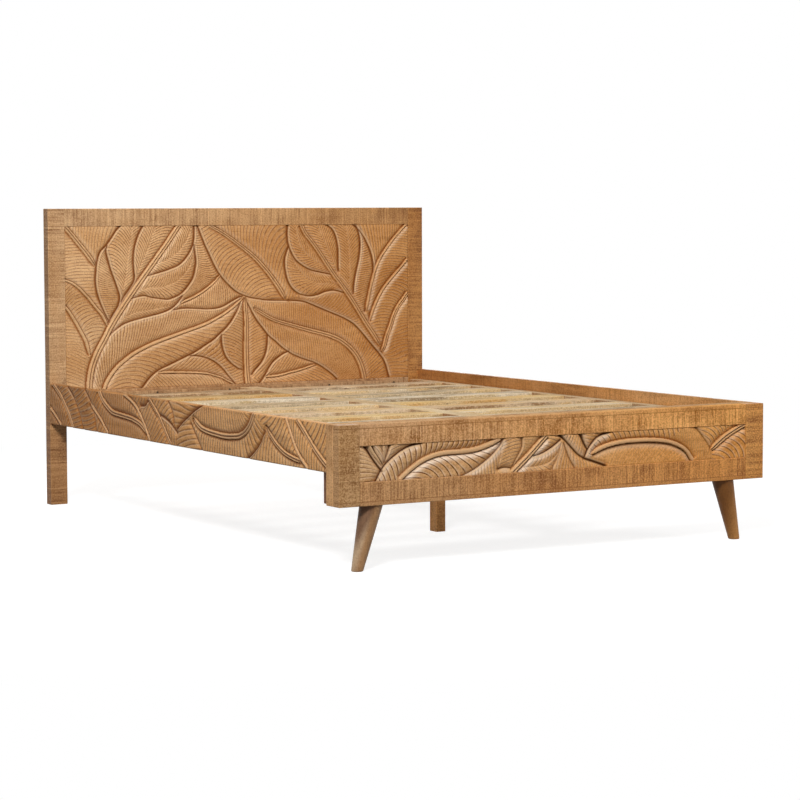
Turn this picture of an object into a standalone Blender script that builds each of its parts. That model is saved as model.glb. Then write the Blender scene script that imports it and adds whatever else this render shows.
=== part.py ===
"""Carved wooden bed: framed headboard and footboard, side rails, slat base and splayed legs.

Metres, +Z up. The bed stands on z = 0 with its foot towards -Y and its head towards +Y.
"""

import math

import bmesh
import bpy
from mathutils import Matrix, Vector

MM = 0.001

# Overall sizes
BED_WIDTH = 1600 * MM
INSIDE_LENGTH = 2056 * MM
HEAD_HEIGHT = 1085 * MM
BED_TOP = 446 * MM
FOOT_CLEARANCE = 200 * MM

# Headboard
HEAD_THICKNESS = 41 * MM
POST_WIDTH = 66 * MM
HEAD_TOP_RAIL_WIDTH = 65 * MM
HEAD_BOTTOM_RAIL_TOP = 416 * MM
HEAD_BOTTOM_RAIL_WIDTH = 112 * MM
HEAD_PANEL_THICKNESS = 30 * MM
HEAD_PANEL_RECESS = 4 * MM

# Footboard
FOOT_FRAME_THICKNESS = 37 * MM
FOOT_BACK_THICKNESS = 42 * MM
FOOT_STILE_WIDTH = 72 * MM
FOOT_TOP_RAIL_WIDTH = 66 * MM
FOOT_BOTTOM_RAIL_WIDTH = 72 * MM
FOOT_PANEL_THICKNESS = 26 * MM
FOOT_PANEL_RECESS = 6 * MM

# Frame joints
TENON_LENGTH = 20 * MM
TENON_THICKNESS = 12 * MM
TENON_SHOULDER = 12 * MM
TONGUE_THICKNESS = 9 * MM
TONGUE_DEPTH = 9 * MM

# Side rails and what they carry
RAIL_HEIGHT = 147 * MM
RAIL_THICKNESS = 22 * MM
LEDGER_WIDTH = 28 * MM
LEDGER_HEIGHT = 40 * MM
BLOCK_WIDTH = 48 * MM
BLOCK_LENGTH = 54 * MM

# Slat base
SLAT_TOP = 406 * MM
SLAT_COUNT = 9
SLAT_WIDTH = 100 * MM
SLAT_THICKNESS = 20 * MM
SLAT_TENON_LENGTH = 12 * MM
SLAT_TENON_SHOULDER = 4 * MM
BATTEN_WIDTH = 37 * MM
BATTEN_HEIGHT = 30 * MM
CLEAT_THICKNESS = 36 * MM
CLEAT_HEIGHT = 98 * MM
CLEAT_ABOVE_SLATS = 2 * MM
CLEAT_END_INSET = 115 * MM
BEAM_WIDTH = 70 * MM
BEAM_HEIGHT = 60 * MM

# Legs
LEG_TOP_DIAMETER = 72 * MM
LEG_FOOT_DIAMETER = 37 * MM
LEG_TOP_INSET = 135 * MM
LEG_SPLAY = 50 * MM
LEG_SETBACK = 42.5 * MM
LEG_SIDES = 32
LEG_FOOT_ROUND = 3 * MM
STUD_DIAMETER = 8 * MM
STUD_LENGTH = 70 * MM
CENTRE_LEG_WIDTH = 35 * MM
CENTRE_LEG_DEPTH = 45 * MM
CENTRE_LEG_FROM_FOOT = 735 * MM
CENTRE_LEG_TENON = 25 * MM
CENTRE_LEG_SHOULDER = 8 * MM

# Steel fittings
BRACKET_THICKNESS = 3 * MM
BRACKET_LEAF = 42 * MM
BRACKET_HEIGHT = 64 * MM
BRACKET_ABOVE_RAIL_BOTTOM = 8 * MM
HANGER_THICKNESS = 2.5 * MM
HANGER_LENGTH = 40 * MM
HANGER_HEIGHT = 42 * MM
BOLT_DIAMETER = 8 * MM
BOLT_HEAD_ACROSS = 13 * MM
BOLT_HEAD_HEIGHT = 5.5 * MM
BOLT_GRIP_IN_POST = 28 * MM
BOLT_GRIP_IN_RAIL = 12 * MM
BOLT_SPACING = 34 * MM
BOLT_SIDES = 12

# Fits and eased edges
SEAT_GAP = 0.3 * MM
HOLE_CLEARANCE = 0.5 * MM
SIDE_CLEARANCE = 1.5 * MM
FRAME_EASE = 2 * MM
SLAT_EASE = 1.5 * MM
EASE_SEGMENTS = 2
CUT_OVERRUN = 2 * MM

# Places worked out from the sizes
HALF_WIDTH = BED_WIDTH / 2
FOOT_THICKNESS = FOOT_FRAME_THICKNESS + SEAT_GAP + FOOT_BACK_THICKNESS
BED_LENGTH = FOOT_THICKNESS + INSIDE_LENGTH + HEAD_THICKNESS
FOOT_FRONT_Y = -BED_LENGTH / 2
FOOT_BACK_Y = FOOT_FRONT_Y + FOOT_THICKNESS
HEAD_FRONT_Y = FOOT_BACK_Y + INSIDE_LENGTH
RAIL_BOTTOM = BED_TOP - RAIL_HEIGHT
RAIL_INNER_X = HALF_WIDTH - RAIL_THICKNESS
BATTEN_BOTTOM = SLAT_TOP - BATTEN_HEIGHT
SEAT_TOP = BATTEN_BOTTOM - SEAT_GAP
CLEAT_TOP = SLAT_TOP + CLEAT_ABOVE_SLATS
CLEAT_HALF_WIDTH = HALF_WIDTH - CLEAT_END_INSET
FOOT_CLEAT_FACE_Y = FOOT_BACK_Y + SEAT_GAP + CLEAT_THICKNESS
HEAD_CLEAT_FACE_Y = HEAD_FRONT_Y - SEAT_GAP - CLEAT_THICKNESS
BEAM_BOTTOM = SEAT_TOP - BEAM_HEIGHT
SIDES = (("left", -1), ("right", 1))
LEVELS = (("lower", -0.5), ("upper", 0.5))

# Geometry helpers
X_AXIS, Y_AXIS, Z_AXIS = range(3)
UP = Vector((0, 0, 1))
HEX_CORNER_COSINE = math.cos(math.pi / 6)
SMOOTH_ANGLE = math.radians(35)


def clear_scene():
    for thing in list(bpy.data.objects):
        bpy.data.objects.remove(thing, do_unlink=True)


def make_material(name, colour, roughness, metallic=0.0):
    material = bpy.data.materials.new(name)
    material.use_nodes = True
    shader = material.node_tree.nodes["Principled BSDF"]
    shader.inputs["Base Color"].default_value = (*colour, 1.0)
    shader.inputs["Roughness"].default_value = roughness
    shader.inputs["Metallic"].default_value = metallic
    return material


def make_empty(name, location):
    empty = bpy.data.objects.new(name, None)
    empty.location = location
    bpy.context.scene.collection.objects.link(empty)
    return empty


def add_object(name, bm, location, parent, material=None):
    """Turn a bmesh into an object whose origin is at a world location."""
    bmesh.ops.recalc_face_normals(bm, faces=bm.faces)
    mesh = bpy.data.meshes.new(name)
    bm.to_mesh(mesh)
    bm.free()
    if material is not None:
        mesh.materials.append(material)
    thing = bpy.data.objects.new(name, mesh)
    thing.parent = parent
    thing.location = Vector(location) - parent.location
    bpy.context.scene.collection.objects.link(thing)
    return thing


def shade_round(thing):
    thing.data.shade_smooth()
    thing.data.set_sharp_from_angle(angle=SMOOTH_ANGLE)


def box_mesh(size, ease=0.0, along=None):
    """A box about its own centre, with eased edges, all of them or those along one axis."""
    bm = bmesh.new()
    bmesh.ops.create_cube(bm, size=1.0, matrix=Matrix.Diagonal((*size, 1.0)))
    edges = bm.edges[:]
    if along is not None:
        edges = [edge for edge in edges if runs_along(edge, along)]
    if ease > 0:
        bmesh.ops.bevel(bm, geom=edges, offset=ease, segments=EASE_SEGMENTS, profile=0.5,
                        affect="EDGES", material=-1)
    return bm


def runs_along(edge, axis):
    direction = edge.verts[1].co - edge.verts[0].co
    return abs(direction[axis]) > 0.99 * direction.length


def end_face(bm, axis, sign):
    """The face that closes a board at one end of an axis."""
    return max(bm.faces, key=lambda face: sign * face.normal[axis] + sign * face.calc_center_median()[axis])


def add_tenon(bm, axis, sign, length, section):
    """Grow a shouldered tenon out of a board's end; section gives its size on every axis."""
    bm.normal_update()
    face = end_face(bm, axis, sign)
    corners = [vert.co for vert in face.verts]
    spans = [max(c[i] for c in corners) - min(c[i] for c in corners) for i in range(3)]
    face = bmesh.ops.extrude_discrete_faces(bm, faces=[face])["faces"][0]
    for vert in face.verts:
        for i in range(3):
            if i != axis:
                vert.co[i] *= section[i] / spans[i]
    face = bmesh.ops.extrude_discrete_faces(bm, faces=[face])["faces"][0]
    for vert in face.verts:
        vert.co[axis] += sign * length


def tenoned_mesh(size, axis, length, section, ease):
    """A board with eased long edges and a tenon at both ends."""
    bm = box_mesh(size, ease, along=axis)
    for sign in (-1, 1):
        add_tenon(bm, axis, sign, length, section)
    return bm


def cylinder_mesh(radius, length, sides):
    bm = bmesh.new()
    bmesh.ops.create_cone(bm, cap_ends=True, segments=sides, radius1=radius, radius2=radius, depth=length)
    return bm


def add_cutter(name, bm, location, parent):
    cutter = add_object(name, bm, location, parent)
    cutter.hide_render = True
    cutter.display_type = "WIRE"
    return cutter


def cut(target, cutter):
    modifier = target.modifiers.new(cutter.name, "BOOLEAN")
    modifier.operation = "DIFFERENCE"
    modifier.solver = "EXACT"
    modifier.object = cutter


def mortise(target, name, location, size, parent):
    """Cut a box-shaped recess that clears the tongue or tenon of the given size."""
    grown = [length + 2 * SEAT_GAP for length in size]
    cut(target, add_cutter(name, box_mesh(grown), location, parent))


def build_frame(names, parent, front_y, thickness, rails_reach, stiles_reach, widths, panel, looks):
    """Stiles, rails and a tongued panel; each reach is the lowest and highest z of those pieces."""
    stile_name, frame_name = names
    stile_width, top_width, bottom_width = widths
    panel_thickness, panel_recess = panel
    low, high = rails_reach
    stile_low, stile_high = stiles_reach
    centre_y = front_y + thickness / 2
    opening_x = HALF_WIDTH - stile_width
    opening_low = low + bottom_width
    opening_high = high - top_width
    opening_middle = (opening_low + opening_high) / 2
    rail_length = 2 * (opening_x - SEAT_GAP)
    tongue_y = front_y + panel_recess + panel_thickness / 2
    slot_width = 2 * (opening_x + TONGUE_DEPTH)
    slot_height = opening_high - opening_low + 2 * TONGUE_DEPTH

    stiles = {}
    for side, sign in SIDES:
        size = (stile_width, thickness, stile_high - stile_low)
        place = (sign * (opening_x + stile_width / 2), centre_y, (stile_low + stile_high) / 2)
        stiles[side] = add_object(f"{stile_name}_{side}", box_mesh(size, FRAME_EASE), place, parent,
                                  looks["frame"])

    rails = (("top", opening_high, high, top_width), ("bottom", low, opening_low, bottom_width))
    rail_objects = []
    for level, rail_low, rail_high, width in rails:
        section = (0.0, TENON_THICKNESS, width - 2 * TENON_SHOULDER)
        bm = tenoned_mesh((rail_length, thickness, width), X_AXIS, TENON_LENGTH, section, FRAME_EASE)
        place = (0.0, centre_y, (rail_low + rail_high) / 2)
        rail_objects.append(add_object(f"{frame_name}_{level}_rail", bm, place, parent, looks["frame"]))
        for side, sign in SIDES:
            size = (TENON_LENGTH, TENON_THICKNESS, section[2])
            hole = (sign * (opening_x + TENON_LENGTH / 2), centre_y, place[2])
            mortise(stiles[side], f"cut_{frame_name}_{level}_mortise_{side}", hole, size, parent)

    slot = (slot_width, TONGUE_THICKNESS, slot_height)
    slot_place = (0.0, tongue_y, opening_middle)
    groove = add_cutter(f"cut_{frame_name}_panel_groove",
                        box_mesh([length + 2 * SEAT_GAP for length in slot]), slot_place, parent)
    for piece in (*stiles.values(), *rail_objects):
        cut(piece, groove)

    panel_size = (2 * (opening_x - SEAT_GAP), panel_thickness, opening_high - opening_low - 2 * SEAT_GAP)
    bm = tongued_panel_mesh(panel_size, slot)
    add_object(f"{frame_name}_panel", bm, slot_place, parent, looks["carved"])


def tongued_panel_mesh(size, slot):
    """A flat panel with a thinner tongue running all round its edge."""
    bm = bmesh.new()
    bmesh.ops.create_cube(bm, size=1.0, matrix=Matrix.Diagonal((*slot, 1.0)))
    bm.normal_update()
    for sign in (-1, 1):
        face = end_face(bm, Y_AXIS, sign)
        face = bmesh.ops.extrude_discrete_faces(bm, faces=[face])["faces"][0]
        for vert in face.verts:
            vert.co.x *= size[X_AXIS] / slot[X_AXIS]
            vert.co.z *= size[Z_AXIS] / slot[Z_AXIS]
        face = bmesh.ops.extrude_discrete_faces(bm, faces=[face])["faces"][0]
        for vert in face.verts:
            vert.co.y += sign * (size[Y_AXIS] - slot[Y_AXIS]) / 2
        bm.normal_update()
    return bm


def build_headboard(looks):
    parent = make_empty("headboard", (0.0, HEAD_FRONT_Y, 0.0))
    names = ("head_post", "head")
    rails_low = HEAD_BOTTOM_RAIL_TOP - HEAD_BOTTOM_RAIL_WIDTH
    build_frame(names, parent, HEAD_FRONT_Y, HEAD_THICKNESS, (rails_low, HEAD_HEIGHT), (0.0, HEAD_HEIGHT),
                (POST_WIDTH, HEAD_TOP_RAIL_WIDTH, HEAD_BOTTOM_RAIL_WIDTH),
                (HEAD_PANEL_THICKNESS, HEAD_PANEL_RECESS), looks)


def build_footboard(looks):
    parent = make_empty("footboard", (0.0, FOOT_BACK_Y, 0.0))
    names = ("foot_stile", "foot")
    build_frame(names, parent, FOOT_FRONT_Y, FOOT_FRAME_THICKNESS, (FOOT_CLEARANCE, BED_TOP),
                (FOOT_CLEARANCE, BED_TOP), (FOOT_STILE_WIDTH, FOOT_TOP_RAIL_WIDTH, FOOT_BOTTOM_RAIL_WIDTH),
                (FOOT_PANEL_THICKNESS, FOOT_PANEL_RECESS), looks)
    height = BED_TOP - FOOT_CLEARANCE
    place = (0.0, FOOT_BACK_Y - FOOT_BACK_THICKNESS / 2, FOOT_CLEARANCE + height / 2)
    board = add_object("foot_back_board", box_mesh((BED_WIDTH, FOOT_BACK_THICKNESS, height), FRAME_EASE),
                       place, parent, looks["frame"])
    for side, sign in SIDES:
        build_front_leg(side, sign, parent, board, looks)


def build_front_leg(side, sign, parent, board, looks):
    """A round tapered leg that leans outwards, with a stud up into the footboard."""
    top = Vector((sign * (HALF_WIDTH - LEG_TOP_INSET), FOOT_FRONT_Y + LEG_SETBACK, FOOT_CLEARANCE))
    foot = Vector((top.x + sign * LEG_SPLAY, top.y, 0.0))
    axis = (top - foot).normalized()
    height = FOOT_CLEARANCE - SEAT_GAP
    bm = bmesh.new()
    bmesh.ops.create_cone(bm, cap_ends=True, segments=LEG_SIDES, radius1=LEG_FOOT_DIAMETER / 2,
                          radius2=LEG_TOP_DIAMETER / 2, depth=height)
    rim = [edge for edge in bm.edges if all(vert.co.z < 0 for vert in edge.verts)]
    bmesh.ops.bevel(bm, geom=rim, offset=LEG_FOOT_ROUND, segments=EASE_SEGMENTS, profile=0.5,
                    affect="EDGES", material=-1)
    middle = (top + foot) / 2
    middle.z = height / 2
    for vert in bm.verts:
        vert.co.x -= sign * LEG_SPLAY * vert.co.z / FOOT_CLEARANCE
    leg = add_object(f"front_leg_{side}", bm, middle, parent, looks["leg"])
    shade_round(leg)

    turn = UP.rotation_difference(axis).to_matrix()
    stud_bm = cylinder_mesh(STUD_DIAMETER / 2, STUD_LENGTH, BOLT_SIDES)
    bmesh.ops.rotate(stud_bm, verts=stud_bm.verts, matrix=turn)
    stud = add_object(f"leg_stud_{side}", stud_bm, top, parent, looks["steel"])
    shade_round(stud)
    hole_bm = cylinder_mesh(STUD_DIAMETER / 2 + SEAT_GAP, STUD_LENGTH + 2 * SEAT_GAP, BOLT_SIDES)
    bmesh.ops.rotate(hole_bm, verts=hole_bm.verts, matrix=turn)
    hole = add_cutter(f"cut_leg_stud_{side}", hole_bm, top, parent)
    cut(leg, hole)
    cut(board, hole)


def build_side_rail(side, sign, parent, looks):
    """A plank flush with the outside, its ledger, its foot block and its head bracket."""
    length = INSIDE_LENGTH - 2 * SEAT_GAP
    middle_y = (FOOT_BACK_Y + HEAD_FRONT_Y) / 2
    rail_x = sign * (HALF_WIDTH - RAIL_THICKNESS / 2)
    place = (rail_x, middle_y, (RAIL_BOTTOM + BED_TOP) / 2)
    rail = add_object(f"side_rail_{side}", box_mesh((RAIL_THICKNESS, length, RAIL_HEIGHT), FRAME_EASE),
                      place, parent, looks["carved"])

    block_x = RAIL_INNER_X - SEAT_GAP - BLOCK_WIDTH / 2
    block_y = FOOT_BACK_Y + SEAT_GAP + BLOCK_LENGTH / 2
    block_height = SEAT_TOP - FOOT_CLEARANCE
    place = (sign * block_x, block_y, FOOT_CLEARANCE + block_height / 2)
    block = add_object(f"foot_corner_block_{side}",
                       box_mesh((BLOCK_WIDTH, BLOCK_LENGTH, block_height), FRAME_EASE),
                       place, parent, looks["frame"])

    bolt_middle = (RAIL_BOTTOM + SEAT_TOP) / 2
    for label, level in LEVELS:
        head_place = Vector((sign * (block_x - BLOCK_WIDTH / 2), block_y, bolt_middle + level * BOLT_SPACING))
        grip = BLOCK_WIDTH + SEAT_GAP + BOLT_GRIP_IN_RAIL
        build_bolt(f"foot_bolt_{label}_{side}", head_place, Vector((sign, 0, 0)), grip, (block, rail),
                   parent, looks["steel"])

    ledger_start = block_y + BLOCK_LENGTH / 2 + SEAT_GAP
    ledger_end = HEAD_FRONT_Y - BRACKET_LEAF - SIDE_CLEARANCE
    size = (LEDGER_WIDTH, ledger_end - ledger_start, LEDGER_HEIGHT)
    place = (sign * (RAIL_INNER_X - SEAT_GAP - LEDGER_WIDTH / 2), (ledger_start + ledger_end) / 2,
             SEAT_TOP - LEDGER_HEIGHT / 2)
    add_object(f"slat_ledger_{side}", box_mesh(size, SLAT_EASE), place, parent, looks["slat"])

    build_head_bracket(side, sign, parent, looks)


def build_head_bracket(side, sign, parent, looks):
    """A steel angle in the inside corner, bolted into the headboard's post."""
    post = bpy.data.objects[f"head_post_{side}"]
    bm = bmesh.new()
    outline = ((0, 0), (BRACKET_LEAF, 0), (BRACKET_LEAF, BRACKET_THICKNESS),
               (BRACKET_THICKNESS, BRACKET_THICKNESS), (BRACKET_THICKNESS, BRACKET_LEAF), (0, BRACKET_LEAF))
    verts = [bm.verts.new((-sign * across, -along, 0)) for across, along in outline]
    face = bm.faces.new(verts)
    raised = bmesh.ops.extrude_face_region(bm, geom=[face])["geom"]
    for vert in (item for item in raised if isinstance(item, bmesh.types.BMVert)):
        vert.co.z += BRACKET_HEIGHT
    bottom = RAIL_BOTTOM + BRACKET_ABOVE_RAIL_BOTTOM
    place = (sign * (RAIL_INNER_X - SEAT_GAP), HEAD_FRONT_Y - SEAT_GAP, bottom)
    bracket = add_object(f"head_bracket_{side}", bm, place, parent, looks["steel"])
    for label, level in LEVELS:
        head_place = Vector((sign * (RAIL_INNER_X - SEAT_GAP - BRACKET_THICKNESS - BOLT_HEAD_ACROSS),
                             HEAD_FRONT_Y - SEAT_GAP - BRACKET_THICKNESS,
                             bottom + BRACKET_HEIGHT / 2 + level * BOLT_SPACING))
        grip = BRACKET_THICKNESS + SEAT_GAP + BOLT_GRIP_IN_POST
        build_bolt(f"head_bolt_{label}_{side}", head_place, Vector((0, 1, 0)), grip, (bracket, post),
                   parent, looks["steel"])


def build_bolt(name, seat, direction, grip, pieces, parent, steel):
    """A hexagon bolt whose head bears on a seat and whose shank runs along a direction."""
    turn = UP.rotation_difference(direction).to_matrix()
    bm = bmesh.new()
    bmesh.ops.create_cone(bm, cap_ends=True, segments=BOLT_SIDES, radius1=BOLT_DIAMETER / 2,
                          radius2=BOLT_DIAMETER / 2, depth=grip,
                          matrix=Matrix.Translation((0, 0, grip / 2 - SEAT_GAP)))
    bm.normal_update()
    face = end_face(bm, Z_AXIS, -1)
    face = bmesh.ops.extrude_discrete_faces(bm, faces=[face])["faces"][0]
    for index, vert in enumerate(face.verts):
        reach = BOLT_HEAD_ACROSS / 2
        if index % 2 == 0:
            reach /= HEX_CORNER_COSINE
        flat = Vector((vert.co.x, vert.co.y, 0)).normalized() * reach
        vert.co.x = flat.x
        vert.co.y = flat.y
    face = bmesh.ops.extrude_discrete_faces(bm, faces=[face])["faces"][0]
    for vert in face.verts:
        vert.co.z -= BOLT_HEAD_HEIGHT
    bmesh.ops.rotate(bm, verts=bm.verts, matrix=turn)
    add_object(name, bm, seat, parent, steel)

    depth = grip + HOLE_CLEARANCE + CUT_OVERRUN
    hole_bm = bmesh.new()
    bmesh.ops.create_cone(hole_bm, cap_ends=True, segments=BOLT_SIDES,
                          radius1=BOLT_DIAMETER / 2 + SEAT_GAP, radius2=BOLT_DIAMETER / 2 + SEAT_GAP,
                          depth=depth, matrix=Matrix.Translation((0, 0, depth / 2 - CUT_OVERRUN)))
    bmesh.ops.rotate(hole_bm, verts=hole_bm.verts, matrix=turn)
    hole = add_cutter(f"cut_{name}", hole_bm, seat, parent)
    for piece in pieces:
        cut(piece, hole)


def build_cleats(parent, looks):
    size = (2 * CLEAT_HALF_WIDTH, CLEAT_THICKNESS, CLEAT_HEIGHT)
    level = CLEAT_TOP - CLEAT_HEIGHT / 2
    for end, face_y, back in (("head", HEAD_CLEAT_FACE_Y, 1), ("foot", FOOT_CLEAT_FACE_Y, -1)):
        place = (0.0, face_y + back * CLEAT_THICKNESS / 2, level)
        add_object(f"{end}_cleat", box_mesh(size, FRAME_EASE), place, parent, looks["frame"])
        build_beam_hanger(end, face_y, back, parent, looks)


def build_beam_hanger(end, face_y, back, parent, looks):
    """A folded steel cup on a cleat's face that the end of the centre beam drops into."""
    inner = BEAM_WIDTH / 2 + SEAT_GAP
    outer = inner + HANGER_THICKNESS
    floor = BEAM_BOTTOM - SEAT_GAP
    underside = floor - HANGER_THICKNESS
    rim = floor + HANGER_HEIGHT
    outline = ((-outer, rim), (-outer, underside), (outer, underside), (outer, rim),
               (inner, rim), (inner, floor), (-inner, floor), (-inner, rim))
    bm = bmesh.new()
    face = bm.faces.new([bm.verts.new((across, 0, height)) for across, height in outline])
    raised = bmesh.ops.extrude_face_region(bm, geom=[face])["geom"]
    for vert in (item for item in raised if isinstance(item, bmesh.types.BMVert)):
        vert.co.y -= back * HANGER_LENGTH
    place = (0.0, face_y - back * SEAT_GAP, 0.0)
    add_object(f"{end}_beam_hanger", bm, place, parent, looks["steel"])


def build_centre_beam(parent, looks):
    start = FOOT_CLEAT_FACE_Y + SEAT_GAP
    finish = HEAD_CLEAT_FACE_Y - SEAT_GAP
    place = (0.0, (start + finish) / 2, BEAM_BOTTOM + BEAM_HEIGHT / 2)
    beam = add_object("centre_beam", box_mesh((BEAM_WIDTH, finish - start, BEAM_HEIGHT), SLAT_EASE),
                      place, parent, looks["slat"])

    height = BEAM_BOTTOM - SEAT_GAP
    section = (CENTRE_LEG_WIDTH - 2 * CENTRE_LEG_SHOULDER, CENTRE_LEG_DEPTH - 2 * CENTRE_LEG_SHOULDER, 0.0)
    bm = box_mesh((CENTRE_LEG_WIDTH, CENTRE_LEG_DEPTH, height), FRAME_EASE, along=Z_AXIS)
    add_tenon(bm, Z_AXIS, 1, CENTRE_LEG_TENON, section)
    leg_y = FOOT_FRONT_Y + CENTRE_LEG_FROM_FOOT
    add_object("centre_leg", bm, (0.0, leg_y, height / 2), parent, looks["leg"])
    hole = (0.0, leg_y, BEAM_BOTTOM + CENTRE_LEG_TENON / 2)
    mortise(beam, "cut_centre_leg_mortise", hole, (section[0], section[1], CENTRE_LEG_TENON), parent)


def slat_places():
    """Centre lines of the slats, with equal gaps between the two cleats."""
    span = HEAD_CLEAT_FACE_Y - FOOT_CLEAT_FACE_Y
    gap = (span - SLAT_COUNT * SLAT_WIDTH) / (SLAT_COUNT + 1)
    first = FOOT_CLEAT_FACE_Y + gap + SLAT_WIDTH / 2
    return [first + index * (SLAT_WIDTH + gap) for index in range(SLAT_COUNT)]


def build_slat_panel(side, sign, parent, looks):
    """One half of the base: an inner and an outer batten with slats tenoned between them."""
    outer_x = RAIL_INNER_X - SIDE_CLEARANCE - BATTEN_WIDTH / 2
    inner_x = SEAT_GAP + BATTEN_WIDTH / 2
    level = BATTEN_BOTTOM + BATTEN_HEIGHT / 2
    reach = {"outer": (FOOT_BACK_Y + SIDE_CLEARANCE, HEAD_FRONT_Y - SIDE_CLEARANCE, outer_x),
             "inner": (FOOT_CLEAT_FACE_Y + SEAT_GAP, HEAD_CLEAT_FACE_Y - SEAT_GAP, inner_x)}
    battens = []
    for label, (start, finish, across) in reach.items():
        bm = box_mesh((BATTEN_WIDTH, finish - start, BATTEN_HEIGHT), SLAT_EASE)
        place = (sign * across, (start + finish) / 2, level)
        battens.append(add_object(f"slat_batten_{label}_{side}", bm, place, parent, looks["slat"]))

    slat_start = inner_x + BATTEN_WIDTH / 2 + SEAT_GAP
    slat_end = outer_x - BATTEN_WIDTH / 2 - SEAT_GAP
    length = slat_end - slat_start
    slat_z = SLAT_TOP - SLAT_THICKNESS / 2
    section = (0.0, SLAT_WIDTH - 2 * SLAT_TENON_SHOULDER, SLAT_THICKNESS - 2 * SLAT_TENON_SHOULDER)
    hole_length = length + 2 * (SLAT_TENON_LENGTH + SEAT_GAP)
    for index, middle_y in enumerate(slat_places(), start=1):
        bm = tenoned_mesh((length, SLAT_WIDTH, SLAT_THICKNESS), X_AXIS, SLAT_TENON_LENGTH, section, SLAT_EASE)
        place = (sign * (slat_start + slat_end) / 2, middle_y, slat_z)
        add_object(f"slat_{side}_{index}", bm, place, parent, looks["slat"])
        size = (hole_length, section[1] + 2 * SEAT_GAP, section[2] + 2 * SEAT_GAP)
        cutter = add_cutter(f"cut_slat_{side}_{index}", box_mesh(size), place, parent)
        for batten in battens:
            cut(batten, cutter)


def build_bed():
    looks = {
        "frame": make_material("honey_frame_wood", (0.52, 0.31, 0.15), 0.6),
        "carved": make_material("honey_carved_wood", (0.50, 0.28, 0.13), 0.55),
        "slat": make_material("raw_slat_wood", (0.70, 0.55, 0.34), 0.75),
        "leg": make_material("leg_wood", (0.38, 0.22, 0.11), 0.55),
        "steel": make_material("zinc_steel", (0.55, 0.55, 0.54), 0.35, 1.0),
    }
    build_headboard(looks)
    build_footboard(looks)
    rails = make_empty("side_rails", (0.0, 0.0, RAIL_BOTTOM))
    for side, sign in SIDES:
        build_side_rail(side, sign, rails, looks)
    base = make_empty("slat_base", (0.0, 0.0, SLAT_TOP))
    build_cleats(base, looks)
    build_centre_beam(base, looks)
    for side, sign in SIDES:
        build_slat_panel(side, sign, base, looks)


clear_scene()
build_bed()
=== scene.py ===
import math

import bmesh
import bpy
import numpy as np
from mathutils import Matrix, Vector


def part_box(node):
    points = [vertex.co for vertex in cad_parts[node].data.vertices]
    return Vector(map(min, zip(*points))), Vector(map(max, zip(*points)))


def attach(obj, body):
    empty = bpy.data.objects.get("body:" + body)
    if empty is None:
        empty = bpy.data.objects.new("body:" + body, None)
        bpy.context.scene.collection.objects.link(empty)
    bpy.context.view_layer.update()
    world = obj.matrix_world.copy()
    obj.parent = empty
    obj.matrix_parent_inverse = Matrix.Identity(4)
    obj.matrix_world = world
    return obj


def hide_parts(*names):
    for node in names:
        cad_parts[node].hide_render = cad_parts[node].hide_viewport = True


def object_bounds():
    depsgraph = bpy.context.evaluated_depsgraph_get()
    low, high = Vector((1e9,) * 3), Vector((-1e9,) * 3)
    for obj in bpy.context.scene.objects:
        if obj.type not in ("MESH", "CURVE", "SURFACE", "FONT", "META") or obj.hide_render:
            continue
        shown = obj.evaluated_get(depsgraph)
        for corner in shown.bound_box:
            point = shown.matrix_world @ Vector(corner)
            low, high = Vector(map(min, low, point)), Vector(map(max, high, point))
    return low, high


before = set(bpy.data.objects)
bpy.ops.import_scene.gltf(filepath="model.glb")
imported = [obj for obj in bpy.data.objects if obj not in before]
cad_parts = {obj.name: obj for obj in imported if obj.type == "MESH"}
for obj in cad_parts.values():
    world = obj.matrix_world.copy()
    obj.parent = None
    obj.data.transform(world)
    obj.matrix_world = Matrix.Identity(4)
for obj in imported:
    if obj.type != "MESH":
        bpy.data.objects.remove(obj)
cad_low, cad_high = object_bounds()

MM = 0.001
ALONG_X, ALONG_Y, ALONG_Z = range(3)
TO_RIGHT = (1, 0, 0)
TO_HEAD = (0, 1, 0)
UPWARD = (0, 0, 1)

# Camera of the photograph, fitted to the bed's own corners
CAMERA_PLACE = (-4.591, -7.744, 1.100)
CAMERA_YAW = 31.02
CAMERA_PITCH = 4.32
CAMERA_ROLL = -0.15
CAMERA_LENS = 116.94
CAMERA_SENSOR = 36.0
CAMERA_FAR = 200.0

# Carving in millimetres: the grid, rolled edges with a ditch behind them, borders, ribs and veins
CARVE_STEP = 2.0
BEAD_PLACE = 5.0
BEAD_WIDTH = 2.8
BEAD_HEIGHT = 1.6
DITCH_PLACE = 9.5
DITCH_WIDTH = 2.2
DITCH_DEPTH = 0.8
END_FADE = 14.0
# Painted shadow below a face's top edge: how far down the dark cores stay wider
SHADOW_BELOW_TOP_REACH = 9.0
BORDER_WIDTH = 3.0
BORDER_DEPTH = 2.0
BORDER_REACH = 12.0
RIB_SINK = 1.0
RIB_GROOVE = 4.0
RIB_TAPER = 40.0
RIB_LIP = 2.0
VEIN_DEPTH = 0.8
HAND_RUN = 43.0
HAND_RISE = 61.0

# Carving in shares: the unsteady hand, the slopes beside a line, which reach further on its lee side, away
# from the light, and the dark core, glazing with painted shade on the lee side, painted sheen on the lit
# side, and rubbing
HAND_SHAKE = 0.05
HAND_SWAY = 2.0
NEAR_REACH = 3
SLOPE_REACH = 0.7
LEE_REACH = 0.35
STEEP_POWER = 1.6
STEEP_SHARE = 0.75
BROAD_REACH = 2.6
LEE_CORE = 0.4
# Glazing and painted shade straight beside a line: it fades out on the lit side and grows to full on the lee
# side
LEVEL_GLAZE_AND_SHADE = 0.4
# How the lit side takes its rolled edge, painted pale as a highlight, and its painted sheen
WIND_START = 0.5
WIND_RISE = 2.5
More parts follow.
